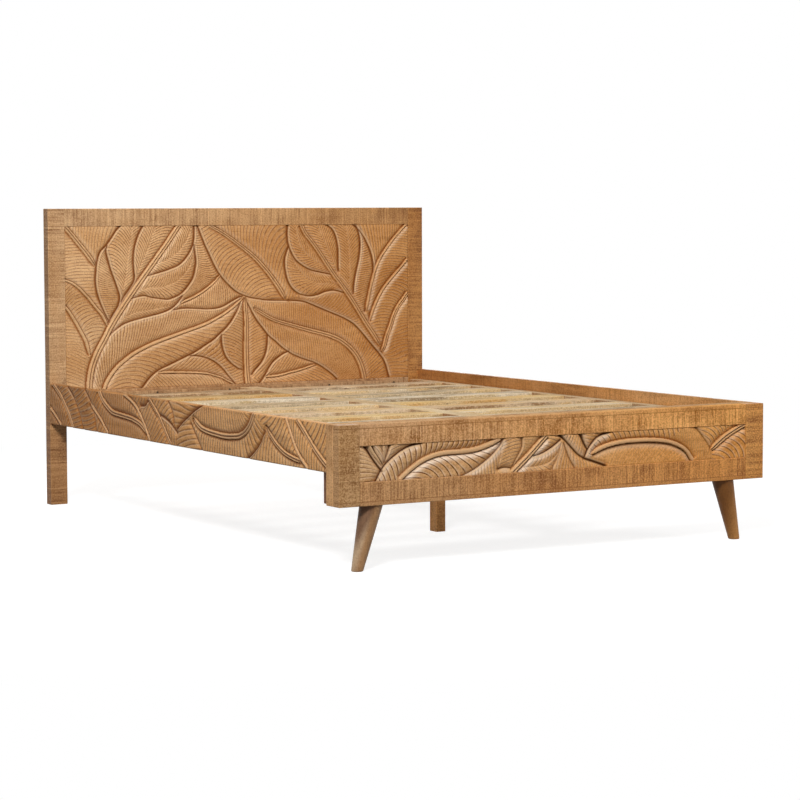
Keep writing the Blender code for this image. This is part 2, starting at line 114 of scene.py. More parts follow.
# Painted sheen, a painted highlight, on the lit side of lines that are not listed
PLAIN_SHEEN = 0.3
VEIN_FADE = 0.5
RIB_NARROWING = 0.65
RIB_EDGE_CUT = 0.3
RIB_RUBBING = 0.7

# Head panel lines, across and up in millimetres from the middle of the bed and the floor
HEAD_LINES = {
    "stem_left": [(-640, 416), (-638, 450), (-628, 500), (-605, 555), (-575, 605), (-550, 650),
                  (-500, 722), (-440, 800), (-400, 850), (-360, 900), (-320, 950), (-283, 1000),
                  (-268, 1020)],
    "side_rib_1": [(-610, 875), (-640, 915), (-670, 950), (-700, 985), (-730, 1018)],
    "side_rib_2": [(-562, 650), (-580, 690), (-610, 725), (-640, 760), (-670, 790), (-700, 812),
                   (-734, 826)],
    "side_rib_3": [(-636, 545), (-645, 590), (-665, 630), (-690, 672), (-715, 710), (-734, 730)],
    "leaf_b_edge": [(-555, 665), (-575, 700), (-600, 760), (-610, 810), (-608, 850), (-603, 890),
                    (-590, 925), (-565, 950), (-545, 975), (-525, 1003), (-508, 1020)],
    "leaf_c_edge": [(-560, 665), (-540, 695), (-520, 725), (-513, 755), (-520, 785), (-535, 825),
                    (-550, 865), (-560, 900), (-567, 930), (-562, 950)],
    "leaf_e_edge": [(-508, 740), (-495, 760), (-475, 785), (-455, 815), (-452, 835), (-455, 870),
                    (-455, 910), (-448, 950), (-435, 985), (-416, 1020)],
    "leaf_c_mid": [(-508, 745), (-490, 840), (-475, 940), (-462, 1020)],
    "leaf_e_mid": [(-448, 830), (-420, 890), (-392, 950), (-365, 1020)],
    "leaf_f_edge": [(-395, 835), (-340, 848), (-310, 857), (-270, 872), (-240, 897), (-217, 930),
                    (-205, 965), (-203, 1020)],
    "leaf_f_mid": [(-395, 870), (-330, 890), (-270, 925), (-230, 980), (-215, 1020)],
    "leaf_g_edge": [(-465, 750), (-440, 757), (-410, 760), (-380, 753), (-320, 745), (-300, 748),
                    (-265, 762), (-240, 783), (-212, 820), (-200, 860), (-197, 890), (-205, 950)],
    "leaf_g_mid": [(-455, 775), (-400, 790), (-330, 795), (-270, 820), (-225, 870), (-205, 930)],
    "leaf_h_edge": [(-560, 612), (-540, 630), (-510, 650), (-480, 663), (-420, 678), (-360, 690),
                    (-330, 698), (-305, 708), (-285, 722), (-265, 742), (-255, 755)],
    "leaf_h_mid": [(-545, 645), (-480, 690), (-420, 705), (-350, 715), (-300, 725), (-262, 748)],
    "leaf_j_rib": [(-265, 728), (-240, 737), (-210, 748), (-180, 763), (-150, 782), (-120, 805),
                   (-95, 832)],
    "leaf_j_edge": [(-290, 705), (-250, 710), (-200, 708), (-150, 705), (-110, 707), (-80, 715),
                    (-50, 730), (-20, 745), (0, 750)],
    "leaf_k_edge": [(-190, 1020), (-175, 985), (-160, 950), (-145, 920), (-125, 880), (-105, 845),
                    (-85, 820), (-60, 795), (-30, 770), (0, 755), (30, 745), (70, 738), (110, 733),
                    (200, 730)],
    "leaf_k_rib": [(185, 735), (160, 775), (130, 815), (100, 850), (60, 890), (20, 922), (-20, 950),
                   (-60, 977), (-100, 1000), (-140, 1020)],
    "leaf_i_rib": [(-575, 416), (-565, 440), (-545, 470), (-520, 497), (-490, 520), (-460, 540),
                   (-430, 555), (-400, 568), (-360, 583), (-280, 608), (-200, 632), (-160, 645),
                   (-120, 662), (-90, 677), (-60, 695), (-30, 715), (0, 742)],
    "leaf_i_edge": [(-5, 740), (-15, 715), (-30, 685), (-50, 655), (-75, 628), (-100, 608), (-130, 585),
                    (-160, 568), (-200, 545), (-240, 528), (-320, 495), (-350, 483), (-375, 468),
                    (-400, 445), (-425, 416)],
    "leaf_m_rib": [(-360, 470), (-280, 468), (-220, 465), (-160, 460), (-120, 450), (-90, 440),
                   (-60, 425), (-40, 416)],
    "leaf_m_edge": [(-225, 530), (-190, 528), (-150, 518), (-115, 500), (-85, 475), (-60, 445),
                    (-32, 416)],
    "leaf_n_rib": [(20, 416), (16, 450), (14, 500), (13, 550), (14, 600), (15, 650), (12, 700),
                   (10, 745)],
    "leaf_n_left": [(-92, 606), (-90, 575), (-85, 550), (-75, 525), (-60, 505), (-40, 488), (-20, 475),
                    (-5, 470)],
    "leaf_n_right": [(107, 600), (105, 565), (98, 530), (85, 503), (70, 485), (50, 465), (38, 450)],
    "leaf_q_rib": [(535, 416), (530, 440), (520, 470), (505, 500), (485, 525), (460, 548), (430, 568),
                   (400, 582), (360, 595), (280, 615), (200, 637), (160, 648), (120, 663), (80, 685),
                   (45, 705)],
    "leaf_q_top": [(200, 730), (260, 725), (300, 712), (350, 692), (400, 673), (450, 653), (490, 630),
                   (530, 592), (570, 548), (610, 505), (630, 475), (645, 430), (650, 416)],
    "leaf_q_edge": [(20, 725), (40, 690), (60, 658), (85, 628), (110, 598), (140, 575), (170, 550),
                    (200, 530), (230, 515), (270, 500), (310, 487), (340, 472), (370, 453), (400, 430),
                    (413, 416)],
    "leaf_p_edge": [(72, 416), (95, 445), (110, 470), (130, 495), (150, 510), (175, 525), (200, 535)],
    "leaf_p_rib": [(95, 438), (150, 440), (200, 450), (250, 460), (290, 471), (320, 480)],
    "stem_right": [(608, 545), (580, 585), (550, 625), (520, 668), (490, 712), (460, 752), (430, 790),
                   (400, 825), (350, 893), (330, 920), (300, 957), (275, 985), (256, 1020)],
    "leaf_r_edge": [(197, 1020), (195, 980), (200, 945), (215, 910), (235, 882), (270, 858), (300, 845),
                    (330, 838), (393, 826)],
    "leaf_r_mid": [(385, 850), (330, 872), (275, 905), (240, 955), (226, 1020)],
    "leaf_u_edge": [(200, 935), (188, 905), (183, 875), (187, 840), (197, 805), (215, 777), (240, 757),
                    (270, 748), (300, 745), (330, 750), (360, 760), (400, 765), (445, 755)],
    "leaf_u_mid": [(440, 775), (385, 795), (325, 798), (270, 820), (225, 870), (205, 930)],
    "leaf_s_edge_1": [(368, 1020), (395, 1000), (410, 970), (418, 935), (420, 900), (420, 860),
                      (422, 840)],
    "leaf_s_edge_2": [(500, 1015), (512, 990), (518, 960), (518, 920), (512, 880), (503, 845), (495, 810),
                      (490, 780), (488, 750)],
    "leaf_s_edge_3": [(488, 1020), (520, 990), (545, 955), (565, 915), (575, 880), (578, 840), (573, 800),
                      (565, 765), (555, 735), (540, 680)],
    "leaf_s_mid_1": [(410, 832), (380, 900), (350, 960), (322, 1020)],
    "leaf_s_mid_2": [(462, 765), (466, 850), (462, 940), (448, 1020)],
    "side_rib_4": [(545, 680), (555, 720), (567, 770), (578, 810), (590, 845), (610, 885), (640, 925),
                   (670, 960), (700, 990), (732, 1020)],
    "side_rib_5": [(560, 640), (570, 665), (585, 700), (600, 728), (620, 760), (650, 795), (680, 825),
                   (710, 855), (734, 880)],
    "side_rib_6": [(612, 515), (625, 540), (640, 585), (655, 620), (670, 660), (690, 695), (715, 725),
                   (734, 750)],
}

# Ribs: half width at the foot and at the tip of the line. A double rib is split by a groove along the
# line, a single one lies on the left of the line's run, and a plain one lies over it
HEAD_RIBS = {"stem_left": (12, 9, "double"), "stem_right": (9, 7, "double"),
             "side_rib_1": (9, 8, "double"), "side_rib_2": (5, 4, "single"),
             "side_rib_3": (6, 5, "single"), "side_rib_4": (5, 4, "single"),
             "side_rib_5": (5, 4, "single"), "side_rib_6": (8, 7, "double"),
             "leaf_j_rib": (4, 3, "single"), "leaf_k_rib": (9, 6, "double"),
             "leaf_i_rib": (7, 4, "single"), "leaf_q_rib": (10, 6, "double"),
             "leaf_m_rib": (4, 3, "single"), "leaf_n_rib": (10, 7, "double"),
             "leaf_p_rib": (4, 3, "single")}

# Lines with the most painted sheen, a painted highlight on their lit side: the share of a full sheen
HEAD_SHEEN_SHARES = {"side_rib_4": 0.8, "side_rib_5": 0.85, "side_rib_6": 0.75, "leaf_s_edge_2": 0.9,
              "leaf_h_edge": 0.85, "stem_left": 0.7, "leaf_c_edge": 0.5, "leaf_f_edge": 0.5,
              "leaf_i_rib": 0.45}

# Fine lines down the middle of leaves that have no rib: the share of a full cut
HEAD_FAINT = {"leaf_c_mid": 0.25, "leaf_e_mid": 0.25, "leaf_f_mid": 0.3, "leaf_g_mid": 0.3,
              "leaf_h_mid": 0.25, "leaf_r_mid": 0.25, "leaf_u_mid": 0.25, "leaf_s_mid_1": 0.2,
              "leaf_s_mid_2": 0.2}

# Leaf halves in the order they are cut: border (lines, a minus sign for backwards, and corners), then the
# line their veins spring from, how far they lean along it, how they bend, their spacing, strength and tone
HEAD_LEAVES = [
    (["side_rib_3", (-734, 416), (-640, 416)], "side_rib_3", 0.9, -0.002, 12, 0.6, 0.03),
    (["side_rib_2", (-734, 729), "-side_rib_3", (-600, 560)], "side_rib_2", 0.95, -0.006, 12, 0.75, 0.0),
    (["side_rib_1", (-734, 1015), (-734, 826), "-side_rib_2"], "side_rib_1", 0.85, -0.001, 13, 0.7, 0.04),
    (["side_rib_1", (-734, 1020), (-500, 1020), (-560, 930)], "side_rib_1", 1.2, -0.003, 12, 0.6, 0.05),
    (["leaf_b_edge", "-leaf_c_edge"], "leaf_b_edge", -0.45, 0.0, 10, 1.0, 0.04),
    (["leaf_c_edge", (-545, 975), (-508, 1020), (-416, 1020), "-leaf_e_edge"],
     "leaf_c_mid", 1.2, -0.008, 9, 1.0, 0.05),
    (["leaf_e_edge", (-268, 1020), (-320, 950), (-400, 850), (-475, 755)],
     "leaf_e_mid", 1.2, -0.008, 9, 1.0, 0.04),
    ([(-425, 416), (-375, 468), (-280, 510), (-160, 568), (-75, 628), (-5, 740), (10, 745), (10, 416)],
     "leaf_m_rib", 1.4, -0.004, 11, 0.8, -0.02),
    ([(16, 416), (16, 745), (40, 690), (110, 598), (200, 530), (310, 487), (413, 416)],
     "leaf_p_rib", 1.4, -0.003, 11, 0.8, 0.0),
    ([(10, 745), (-30, 685), (-75, 628), "leaf_n_left", (14, 465), (13, 550), (15, 650)],
     "leaf_n_rib", 0.7, -0.003, 11, 0.9, -0.04),
    ([(10, 745), (40, 690), (85, 628), "leaf_n_right", (16, 450), (13, 550), (15, 650)],
     "leaf_n_rib", 0.7, -0.003, 11, 0.9, 0.01),
    (["leaf_j_edge", (0, 742), "-leaf_i_rib", (-620, 416), (-628, 500), (-605, 555), (-560, 612),
      "leaf_h_edge"], "leaf_i_rib", 1.1, -0.003, 9, 0.9, -0.01),
    (["leaf_i_rib", "leaf_i_edge"], "leaf_i_rib", 2.0, -0.006, 14, 0.7, 0.0),
    ([(-265, 728), (-255, 755), (-200, 860), (-203, 1020), (-190, 1020), (-160, 950), (-105, 845),
      "-leaf_j_rib"], "leaf_k_edge", 0.1, -0.01, 11, 1.0, 0.02),
    (["leaf_j_rib", (-85, 820), (-30, 770), (0, 750), "-leaf_j_edge"],
     "leaf_j_rib", -0.6, 0.0, 9, 1.0, 0.01),
    ([(-560, 612), (-550, 650), (-500, 722), (-470, 752), "leaf_g_edge", "-leaf_h_edge"],
     "leaf_h_mid", 1.2, -0.008, 9, 0.9, 0.02),
    ([(-465, 750), (-440, 795), (-400, 845), "leaf_f_edge", "-leaf_g_edge"],
     "leaf_g_mid", 1.2, -0.008, 9, 1.0, 0.02),
    ([(-400, 850), (-360, 900), (-320, 950), (-268, 1020), "-leaf_f_edge"],
     "leaf_f_mid", 1.2, -0.008, 9, 1.0, 0.03),
    (["leaf_q_edge", "leaf_q_rib"], "leaf_q_rib", -0.6, 0.002, 10, 0.8, -0.01),
    (["leaf_q_top", (535, 416), "leaf_q_rib", (20, 735)], "leaf_q_rib", 0.5, -0.002, 10, 0.8, 0.0),
    (["leaf_q_top", "stem_right", "-leaf_u_edge", (185, 735)], "leaf_q_top", 0.8, -0.004, 11, 0.6, -0.03),
    (["leaf_k_rib", (197, 1020), (195, 980), "leaf_u_edge", (200, 735)],
     "leaf_k_rib", 1.0, -0.004, 13, 0.7, 0.0),
    (["leaf_k_edge", "leaf_k_rib"], "leaf_k_rib", 0.95, -0.005, 14, 0.75, 0.01),
    (["leaf_u_edge", (460, 752), (430, 790), (400, 825), "-leaf_r_edge"],
     "leaf_u_mid", 1.2, -0.008, 9, 0.8, 0.0),
    (["leaf_r_edge", (400, 825), (350, 893), (300, 957), (256, 1020)],
     "leaf_r_mid", 1.2, -0.008, 9, 1.0, 0.02),
    ([(256, 1020), "leaf_s_edge_1", (420, 805), (350, 893), (300, 957)],
     "leaf_s_mid_1", 1.2, -0.008, 9, 1.0, 0.01),
    ([(368, 1020), (500, 1020), "leaf_s_edge_2", (490, 712), (430, 790), "-leaf_s_edge_1"],
     "leaf_s_mid_2", 1.2, -0.008, 9, 0.9, -0.01),
    (["leaf_s_edge_3", (520, 668), (490, 712), "-leaf_s_edge_2"],
     "leaf_s_edge_2", -0.4, 0.0, 10, 1.0, -0.02),
    (["leaf_s_edge_3", "side_rib_4", (734, 1020)], "side_rib_4", 1.1, -0.002, 12, 0.7, -0.01),
    (["side_rib_4", (734, 1015), (734, 880), "-side_rib_5"], "side_rib_4", 0.85, -0.001, 12, 0.75, -0.03),
    (["side_rib_5", (734, 750), "-side_rib_6", (608, 545)], "side_rib_5", 0.95, -0.005, 12, 0.75, -0.04),
    (["side_rib_6", (734, 416), (650, 416), (630, 475)], "side_rib_6", 0.9, -0.002, 13, 0.6, -0.05),
]

# Foot panel lines, across and up. Deep lines have a wider cut, and a turned one has a lee side of its own
FOOT_LINES = {
    "edge_1": [(-708, 380), (-687, 350), (-669, 326), (-649, 302)],
    "rib_1": [(-646, 318), (-661, 336), (-677, 356), (-693, 380)],
    "mid_0": [(-643, 326), (-645, 350), (-649, 380)],
    "mid_1": [(-640, 328), (-630, 352), (-621, 380)],
    "edge_2": [(-670, 272), (-656, 296), (-642, 315), (-622, 333), (-600, 348), (-576, 362), (-548, 373),
               (-512, 380)],
    "rib_2": [(-588, 272), (-555, 297), (-522, 318), (-490, 332), (-457, 341), (-425, 345), (-392, 346),
              (-350, 347), (-310, 351), (-272, 361), (-245, 371), (-228, 380)],
    "edge_3": [(-364, 272), (-330, 285), (-300, 301), (-270, 320), (-245, 340), (-226, 360), (-214, 380)],
    "spine_3": [(-236, 284), (-230, 313), (-224, 341), (-214, 378)],
    "edge_12": [(-147, 380), (-146, 351), (-157, 329), (-171, 308), (-182, 291)],
    "hollow": [(-232, 285), (-212, 289), (-186, 287)],
    "rib_3": [(-180, 272), (-152, 295), (-121, 320), (-91, 347), (-55, 380)],
    "edge_4": [(-115, 318), (-87, 321), (-63, 328), (-43, 337), (-22, 349), (0, 364)],
    "mid_4": [(-138, 287), (-104, 287), (-70, 290), (-43, 299), (-22, 315), (-5, 338)],
    "edge_5": [(3, 358), (-7, 328), (-19, 300), (-37, 272)],
    "edge_6": [(-4, 378), (19, 360), (43, 337), (64, 317), (88, 302)],
    "edge_7": [(74, 380), (86, 355), (102, 328)],
    "edge_8": [(12, 354), (22, 328), (31, 308), (43, 289), (55, 272)],
    "edge_9": [(90, 302), (105, 330), (120, 348), (138, 364), (158, 373), (188, 380)],
    "rib_4": [(115, 312), (149, 329), (190, 340), (235, 346), (285, 348), (340, 347), (397, 342),
              (439, 332), (472, 318), (495, 301), (515, 274)],
    "edge_10": [(90, 301), (130, 288), (172, 274)],
    "edge_11": [(525, 380), (548, 357), (568, 334), (588, 310)],
    "rib_5": [(589, 301), (617, 323), (651, 345), (690, 364), (728, 380)],
}
FOOT_RIBS = {"rib_1": (4, 5, "plain"), "rib_2": (7, 8, "plain"), "rib_3": (10, 8, "double"),
             "rib_4": (7, 7, "plain"), "rib_5": (10, 8, "double")}
# Painted sheen on the lit side of these lines, as a share of a full sheen
FOOT_SHEEN_SHARES = {"rib_2": 1.0, "edge_2": 0.65, "edge_3": 1.0, "edge_9": 0.9, "rib_3": 0.9, "edge_4": 0.7,
              "mid_4": 0.2, "edge_10": 0.0, "edge_11": 0.1, "rib_4": 0.25, "spine_3": 0.0, "edge_12": 0.0}
FOOT_FAINT = {"edge_3": 0.8, "edge_8": 0.7, "mid_0": 0.5, "mid_1": 0.8, "spine_3": 0.35, "edge_12": 0.7,
              "mid_4": 0.45, "edge_5": 0.5, "edge_11": 0.65}
FOOT_DEEP = {"rib_4": 2.2, "edge_10": 1.9, "edge_1": 1.5, "edge_7": 1.4, "edge_6": 1.2}
FOOT_TURNED = {"rib_4": (0.29, 0.96)}
FOOT_LEAVES = [
    ([(-728, 272), (-728, 380), "edge_1", (-670, 272)], "edge_1", -1.6, 0.008, 10.6, 0.8, 0.0),
    (["edge_1", "edge_2"], "mid_1", 0.9, -0.004, 15, 0.8, 0.0),
    (["edge_2", (-228, 380), "-rib_2", (-670, 272)], "rib_2", 0.6, -0.004, 18, 1.3, 0.02),
    (["edge_3", "-spine_3", (-236, 272)], "edge_3", -0.5, 0.0, 13, 0.9, 0.02),
    (["spine_3", "edge_12", (-232, 285)], "spine_3", 0.8, -0.004, 11, 0.9, 0.0),
    (["edge_12", "rib_3"], "rib_3", -0.9, 0.0, 14, 0.4, -0.06),
    (["rib_2", "-edge_3"], "rib_2", 1.8, -0.009, 16.5, 1.2, 0.03),
    (["rib_3", (0, 380), "-edge_4"], "rib_3", 0.8, -0.004, 13, 0.8, 0.02),
    (["edge_4", "edge_5", (-180, 272)], "mid_4", 1.0, -0.004, 14, 0.7, 0.0),
    (["edge_5", "-edge_8"], "edge_8", 0.9, 0.0, 12, 0.8, 0.0),
    (["edge_6", "edge_10", "-edge_8"], "edge_6", 0.7, 0.0, 14, 0.8, 0.0),
    (["edge_6", "edge_9"], "edge_7", 0.9, 0.0, 13, 0.9, -0.01),
    (["edge_9", (525, 380), "-rib_4"], "rib_4", -0.6, 0.0, 19, 1.1, 0.02),
    (["rib_4", "-edge_10"], "rib_4", -0.9, 0.0, 13, 0.3, 0.03),
    ([(515, 274), (495, 301), (472, 318), (430, 350), (480, 380), "edge_11", (590, 272)],
     "edge_11", 1.3, 0.0, 9, 0.5, -0.04),
    (["edge_11", "rib_5"], "rib_5", 0.25, -0.006, 16, 0.9, -0.02),
    (["rib_5", (728, 272), (588, 272)], "rib_5", 1.3, -0.009, 16, 1.0, 0.0),
]

# Side rail lines, from the front of the footboard towards the head, and up
RAIL_LINES = {
    "rib_1": [(1938, 299), (1970, 340), (2000, 370), (2050, 410), (2115, 446)],
    "rib_2": [(2040, 299), (2090, 330), (2140, 358)],
    "edge_1": [(1845, 299), (1870, 345), (1900, 380), (1930, 410), (1985, 446)],
    "edge_2": [(1730, 299), (1750, 360), (1780, 400), (1835, 446)],
    "rib_3": [(1636, 299), (1690, 340), (1740, 370), (1790, 400)],
    "rib_4": [(1325, 322), (1360, 345), (1400, 358), (1450, 366), (1500, 370), (1550, 373), (1600, 378),
              (1640, 393), (1680, 415), (1712, 446)],
    "rib_5": [(1298, 299), (1320, 325), (1340, 350), (1365, 375), (1400, 405), (1440, 425), (1505, 446)],
    "edge_3": [(1370, 415), (1330, 420), (1300, 446)],
    "rib_6": [(1138, 299), (1160, 320), (1190, 350), (1220, 380), (1260, 410), (1312, 446)],
    "edge_4": [(1240, 395), (1200, 390), (1150, 375), (1110, 355), (1085, 340)],
    "edge_5": [(1160, 446), (1130, 420), (1115, 395), (1105, 360)],
    "edge_6": [(905, 446), (960, 425), (1000, 405), (1050, 380), (1095, 350)],
    "rib_7": [(545, 446), (570, 410), (600, 385), (640, 368), (680, 362), (740, 358), (800, 360),
              (870, 365), (920, 375), (975, 402)],
    "edge_7": [(985, 380), (950, 345), (920, 315), (908, 299)],
    "edge_8": [(585, 299), (540, 325), (500, 355), (470, 392)],
    "rib_8": [(235, 318), (290, 325), (340, 335), (390, 355), (430, 380), (468, 410)],
    "rib_9": [(195, 299), (235, 325), (270, 355), (300, 395), (335, 446)],
    "rib_10": [(79, 318), (110, 335), (150, 360), (190, 390), (230, 420), (268, 446)],
}
RAIL_RIBS = {"rib_1": (8, 7, "double"), "rib_2": (4, 4, "plain"), "rib_3": (4, 4, "plain"),
             "rib_4": (8, 9, "double"), "rib_5": (5, 4, "plain"), "rib_6": (6, 5, "double"),
             "rib_7": (10, 8, "double"), "rib_8": (7, 6, "double"), "rib_9": (5, 4, "plain"),
             "rib_10": (8, 7, "double")}
RAIL_LEAVES = [
    ([(1938, 299), (2140, 299), (2140, 446), "-rib_1"], "rib_1", -0.3, 0.0, 13, 0.9, -0.05),
    (["rib_1", (1985, 446), "-edge_1"], "rib_1", -0.65, 0.002, 11, 1.0, -0.03),
    (["edge_1", (1835, 446), "-edge_2"], "edge_1", -0.5, 0.002, 11, 0.95, -0.02),
    (["edge_2", "-rib_4", (1298, 299)], "rib_4", 0.0, 0.0, 12, 0.7, -0.02),
    (["rib_4", (1505, 446), "-rib_5"], "rib_4", -0.2, 0.002, 12, 0.9, -0.02),
    (["rib_5", (1312, 446), "-rib_6"], "rib_6", -0.1, 0.002, 13, 0.9, -0.01),
    (["rib_6", (905, 446), "edge_6", (1085, 299)], "edge_4", 0.8, 0.0, 13, 0.9, 0.01),
    (["edge_5", "-edge_6"], "edge_6", 1.6, -0.004, 13, 0.9, 0.01),
    ([(1085, 299), (1095, 350), (1000, 405), "edge_7"], "edge_7", -0.9, 0.002, 12, 0.9, 0.0),
    ([(905, 446), (960, 425), (985, 405), "-rib_7"], "rib_7", 0.15, 0.0, 13, 0.9, 0.02),
    (["rib_7", "edge_7", "edge_8"], "rib_7", 0.05, 0.0, 12, 1.0, 0.02),
    (["edge_8", "-rib_8", (235, 299)], "rib_8", -0.4, 0.0, 12, 0.9, 0.01),
    (["rib_8", (545, 446), "-rib_9"], "rib_8", -0.6, 0.003, 14, 1.0, 0.03),
    (["rib_9", "-rib_10", (79, 299)], "rib_10", -0.6, 0.0, 11, 0.9, 0.03),
    (["rib_10", (79, 446)], "rib_10", -0.4, 0.003, 15, 1.0, 0.03),
]

# The three carved faces: their corners, where they start along the board, how far they stand before the
# solid panel's face, their eased edges, the lee side away from the light, and the measures of their cuts, of
# the painted shadow below their top edge, of the glazing and painted shade, and of the painted sheen
HEAD_FACE = {
    "lines": HEAD_LINES, "ribs": HEAD_RIBS, "leaves": HEAD_LEAVES,
    "faint": HEAD_FAINT, "waxed": HEAD_SHEEN_SHARES, "deep": {}, "turned": {},
    "span": ((-734, 416), (734, 1020)), "start": 0.0, "proud": 3.8, "ease": 0.0, "lee": (-0.97, 0.22),
    "depth": 8.0, "reach": 20.0, "core": 2.3, "rib_core": 1.2, "pit": 0.3, "border": 0.5, "glaze": 9.0,
    "ditch": 0.5, "bloom": 7.5, "groove": 1.9, "closeness": 0.85, "rib_tone": 0.03,
}
FOOT_FACE = {
    "lines": FOOT_LINES, "ribs": FOOT_RIBS, "leaves": FOOT_LEAVES,
    "faint": FOOT_FAINT, "waxed": FOOT_SHEEN_SHARES, "deep": FOOT_DEEP, "turned": FOOT_TURNED,
    "span": ((-728, 272), (728, 380)), "start": 0.0, "proud": 4.5, "ease": 0.0, "lee": (-0.97, 0.22),
    "depth": 10.0, "reach": 24.0, "core": 2.3, "rib_core": 1.5, "pit": 1.6, "border": 0.4, "glaze": 8.0,
    "ditch": 0.3, "bloom": 9.0, "groove": 1.9, "closeness": 0.85, "rib_tone": 0.03,
}
RAIL_FACE = {
    "lines": RAIL_LINES, "ribs": RAIL_RIBS, "leaves": RAIL_LEAVES,
    "faint": {}, "waxed": {}, "deep": {}, "turned": {},
    "span": ((79, 299), (2135, 446)), "start": cad_low[1] / MM, "proud": 0.0, "ease": 3.0,
    "lee": (0.80, 0.60), "depth": 8.0, "reach": 20.0, "core": 4.0, "rib_core": 2.0, "pit": 0.0, "border": 0.0,
    "glaze": 12.0, "ditch": 0.6, "bloom": 10.0, "groove": 2.6, "closeness": 1.35, "rib_tone": -0.04,
}


# Curves of the carving
def smooth_line(points, steps=5):
    """A smooth curve through the points, as an array of points."""
    given = np.array(points, float)
    ends = np.vstack([2 * given[0] - given[1], given, 2 * given[-1] - given[-2]])
    share = np.linspace(0, 1, steps, endpoint=False)[:, None]
    spans = []
    for first, second, third, fourth in zip(ends[:-3], ends[1:-2], ends[2:-1], ends[3:]):
        spans.append(0.5 * (2 * second + (third - first) * share
                            + (2 * first - 5 * second + 4 * third - fourth) * share ** 2
                            + (3 * second - first - 3 * third + fourth) * share ** 3))
    return np.vstack(spans + [given[-1:]])


def along_and_off(line, across, up, open_ends, lee=(0.0, 0.0)):
    """Length along the line, distance off it (above zero on the left of its run), the line's length, and
    how far each point lies to the lee side, from -1 to 1. Open ends run on past the line's ends."""
    best = np.full(across.shape, np.inf)
    along, side, left = np.zeros((3,) + across.shape)
    start = 0.0
    last = len(line) - 2
    for index, (first, second) in enumerate(zip(line[:-1], line[1:])):
        step = second - first
        length = math.hypot(step[0], step[1])
        share = ((across - first[0]) * step[0] + (up - first[1]) * step[1]) / length ** 2
        low = -np.inf if open_ends and index == 0 else 0.0
        high = np.inf if open_ends and index == last else 1.0
        share = np.clip(share, low, high)
        aside = across - first[0] - share * step[0]
        above = up - first[1] - share * step[1]
        off = np.hypot(aside, above)
        nearer = off < best
        best = np.where(nearer, off, best)
        along = np.where(nearer, start + share * length, along)
        side = np.where(nearer, (aside * lee[0] + above * lee[1]) / np.maximum(off, 0.1), side)
        left = np.where(nearer, step[0] * above - step[1] * aside, left)
        start += length
    return along, np.where(left < 0, -best, best), start, side


def inside(border, across, up):
    """Which points lie inside a closed border."""
    within = np.zeros(across.shape, bool)
    for (x0, z0), (x1, z1) in zip(border, np.roll(border, -1, axis=0)):
        if z0 == z1:
            continue
        crosses = (z0 > up) != (z1 > up)
        within ^= crosses & (across < x0 + (up - z0) * (x1 - x0) / (z1 - z0))
    return within


def near(line, across, up, reach):
    """Places of the points in the line's box, widened by reach."""
    low = line.min(axis=0) - reach
    high = line.max(axis=0) + reach
    return np.flatnonzero((across > low[0]) & (across < high[0]) & (up > low[1]) & (up < high[1]))


def leaf_border(parts, curves):
    """The closed border of a leaf half from named lines and corners."""
    points = []
    for part in parts:
        if isinstance(part, tuple):
            points.append(np.array([part], float))
        elif part.startswith("-"):
            points.append(curves[part[1:]][::-1])
        else:
            points.append(curves[part])
    return np.vstack(points)


def bump_at(off, place, width):
    """A soft bump that is one at a place and fades within a width."""
    return np.exp(-(((off - place) / width) ** 2))


def keep_most(values, chosen, new):
    """Raises the chosen values to the new ones where these are larger."""
    values[chosen] = np.maximum(values[chosen], new)


# Carved faces
def rib_section(rib, curve, across, up, face, lee):
    """For each point: its distance from a rib's middle, the rib's half width, the lee side, and whether it
    lies between the rib's ends. An end inside the face tapers, one at its border runs out."""
    along, off, length, side = along_and_off(curve, across, up, True, lee)
    foot, tip, kind = rib
    half = foot + (tip - foot) * np.clip(along / length, 0, 1)
    for point, distance in ((curve[0], along), (curve[-1], length - along)):
        if np.min(np.abs(np.array(face["span"]) - point)) > BORDER_REACH:
            half = half * (1 - RIB_NARROWING * np.clip(1 - distance / RIB_TAPER, 0, 1) ** 2)
    if kind == "single":
        off = off - (half - RIB_LIP)
    return np.abs(off), half, side, (along >= 0) & (along <= length)


def score_leaves(finish, across, up, face, curves):
    """Gives each leaf half its tone and the count and strength of its veins."""
    hand = HAND_SHAKE * np.sin(across / HAND_RUN + HAND_SWAY * np.sin(up / HAND_RISE))
    for parts, guide, lean, bend, spacing, strength, shade in face["leaves"]:
        border = leaf_border(parts, curves)
        near_by = near(border, across, up, 0.0)
        chosen = near_by[inside(border, across[near_by], up[near_by])]
        along, off, _, _ = along_and_off(curves[guide], across[chosen], up[chosen], True)
        step = face["closeness"] * spacing * math.hypot(1, lean)
        run = (along - lean * np.abs(off) - bend * off ** 2) / step
        finish["vein_count"][chosen] = run + hand[chosen]
        finish["vein"][chosen] = strength
        finish["tone"][chosen] = shade


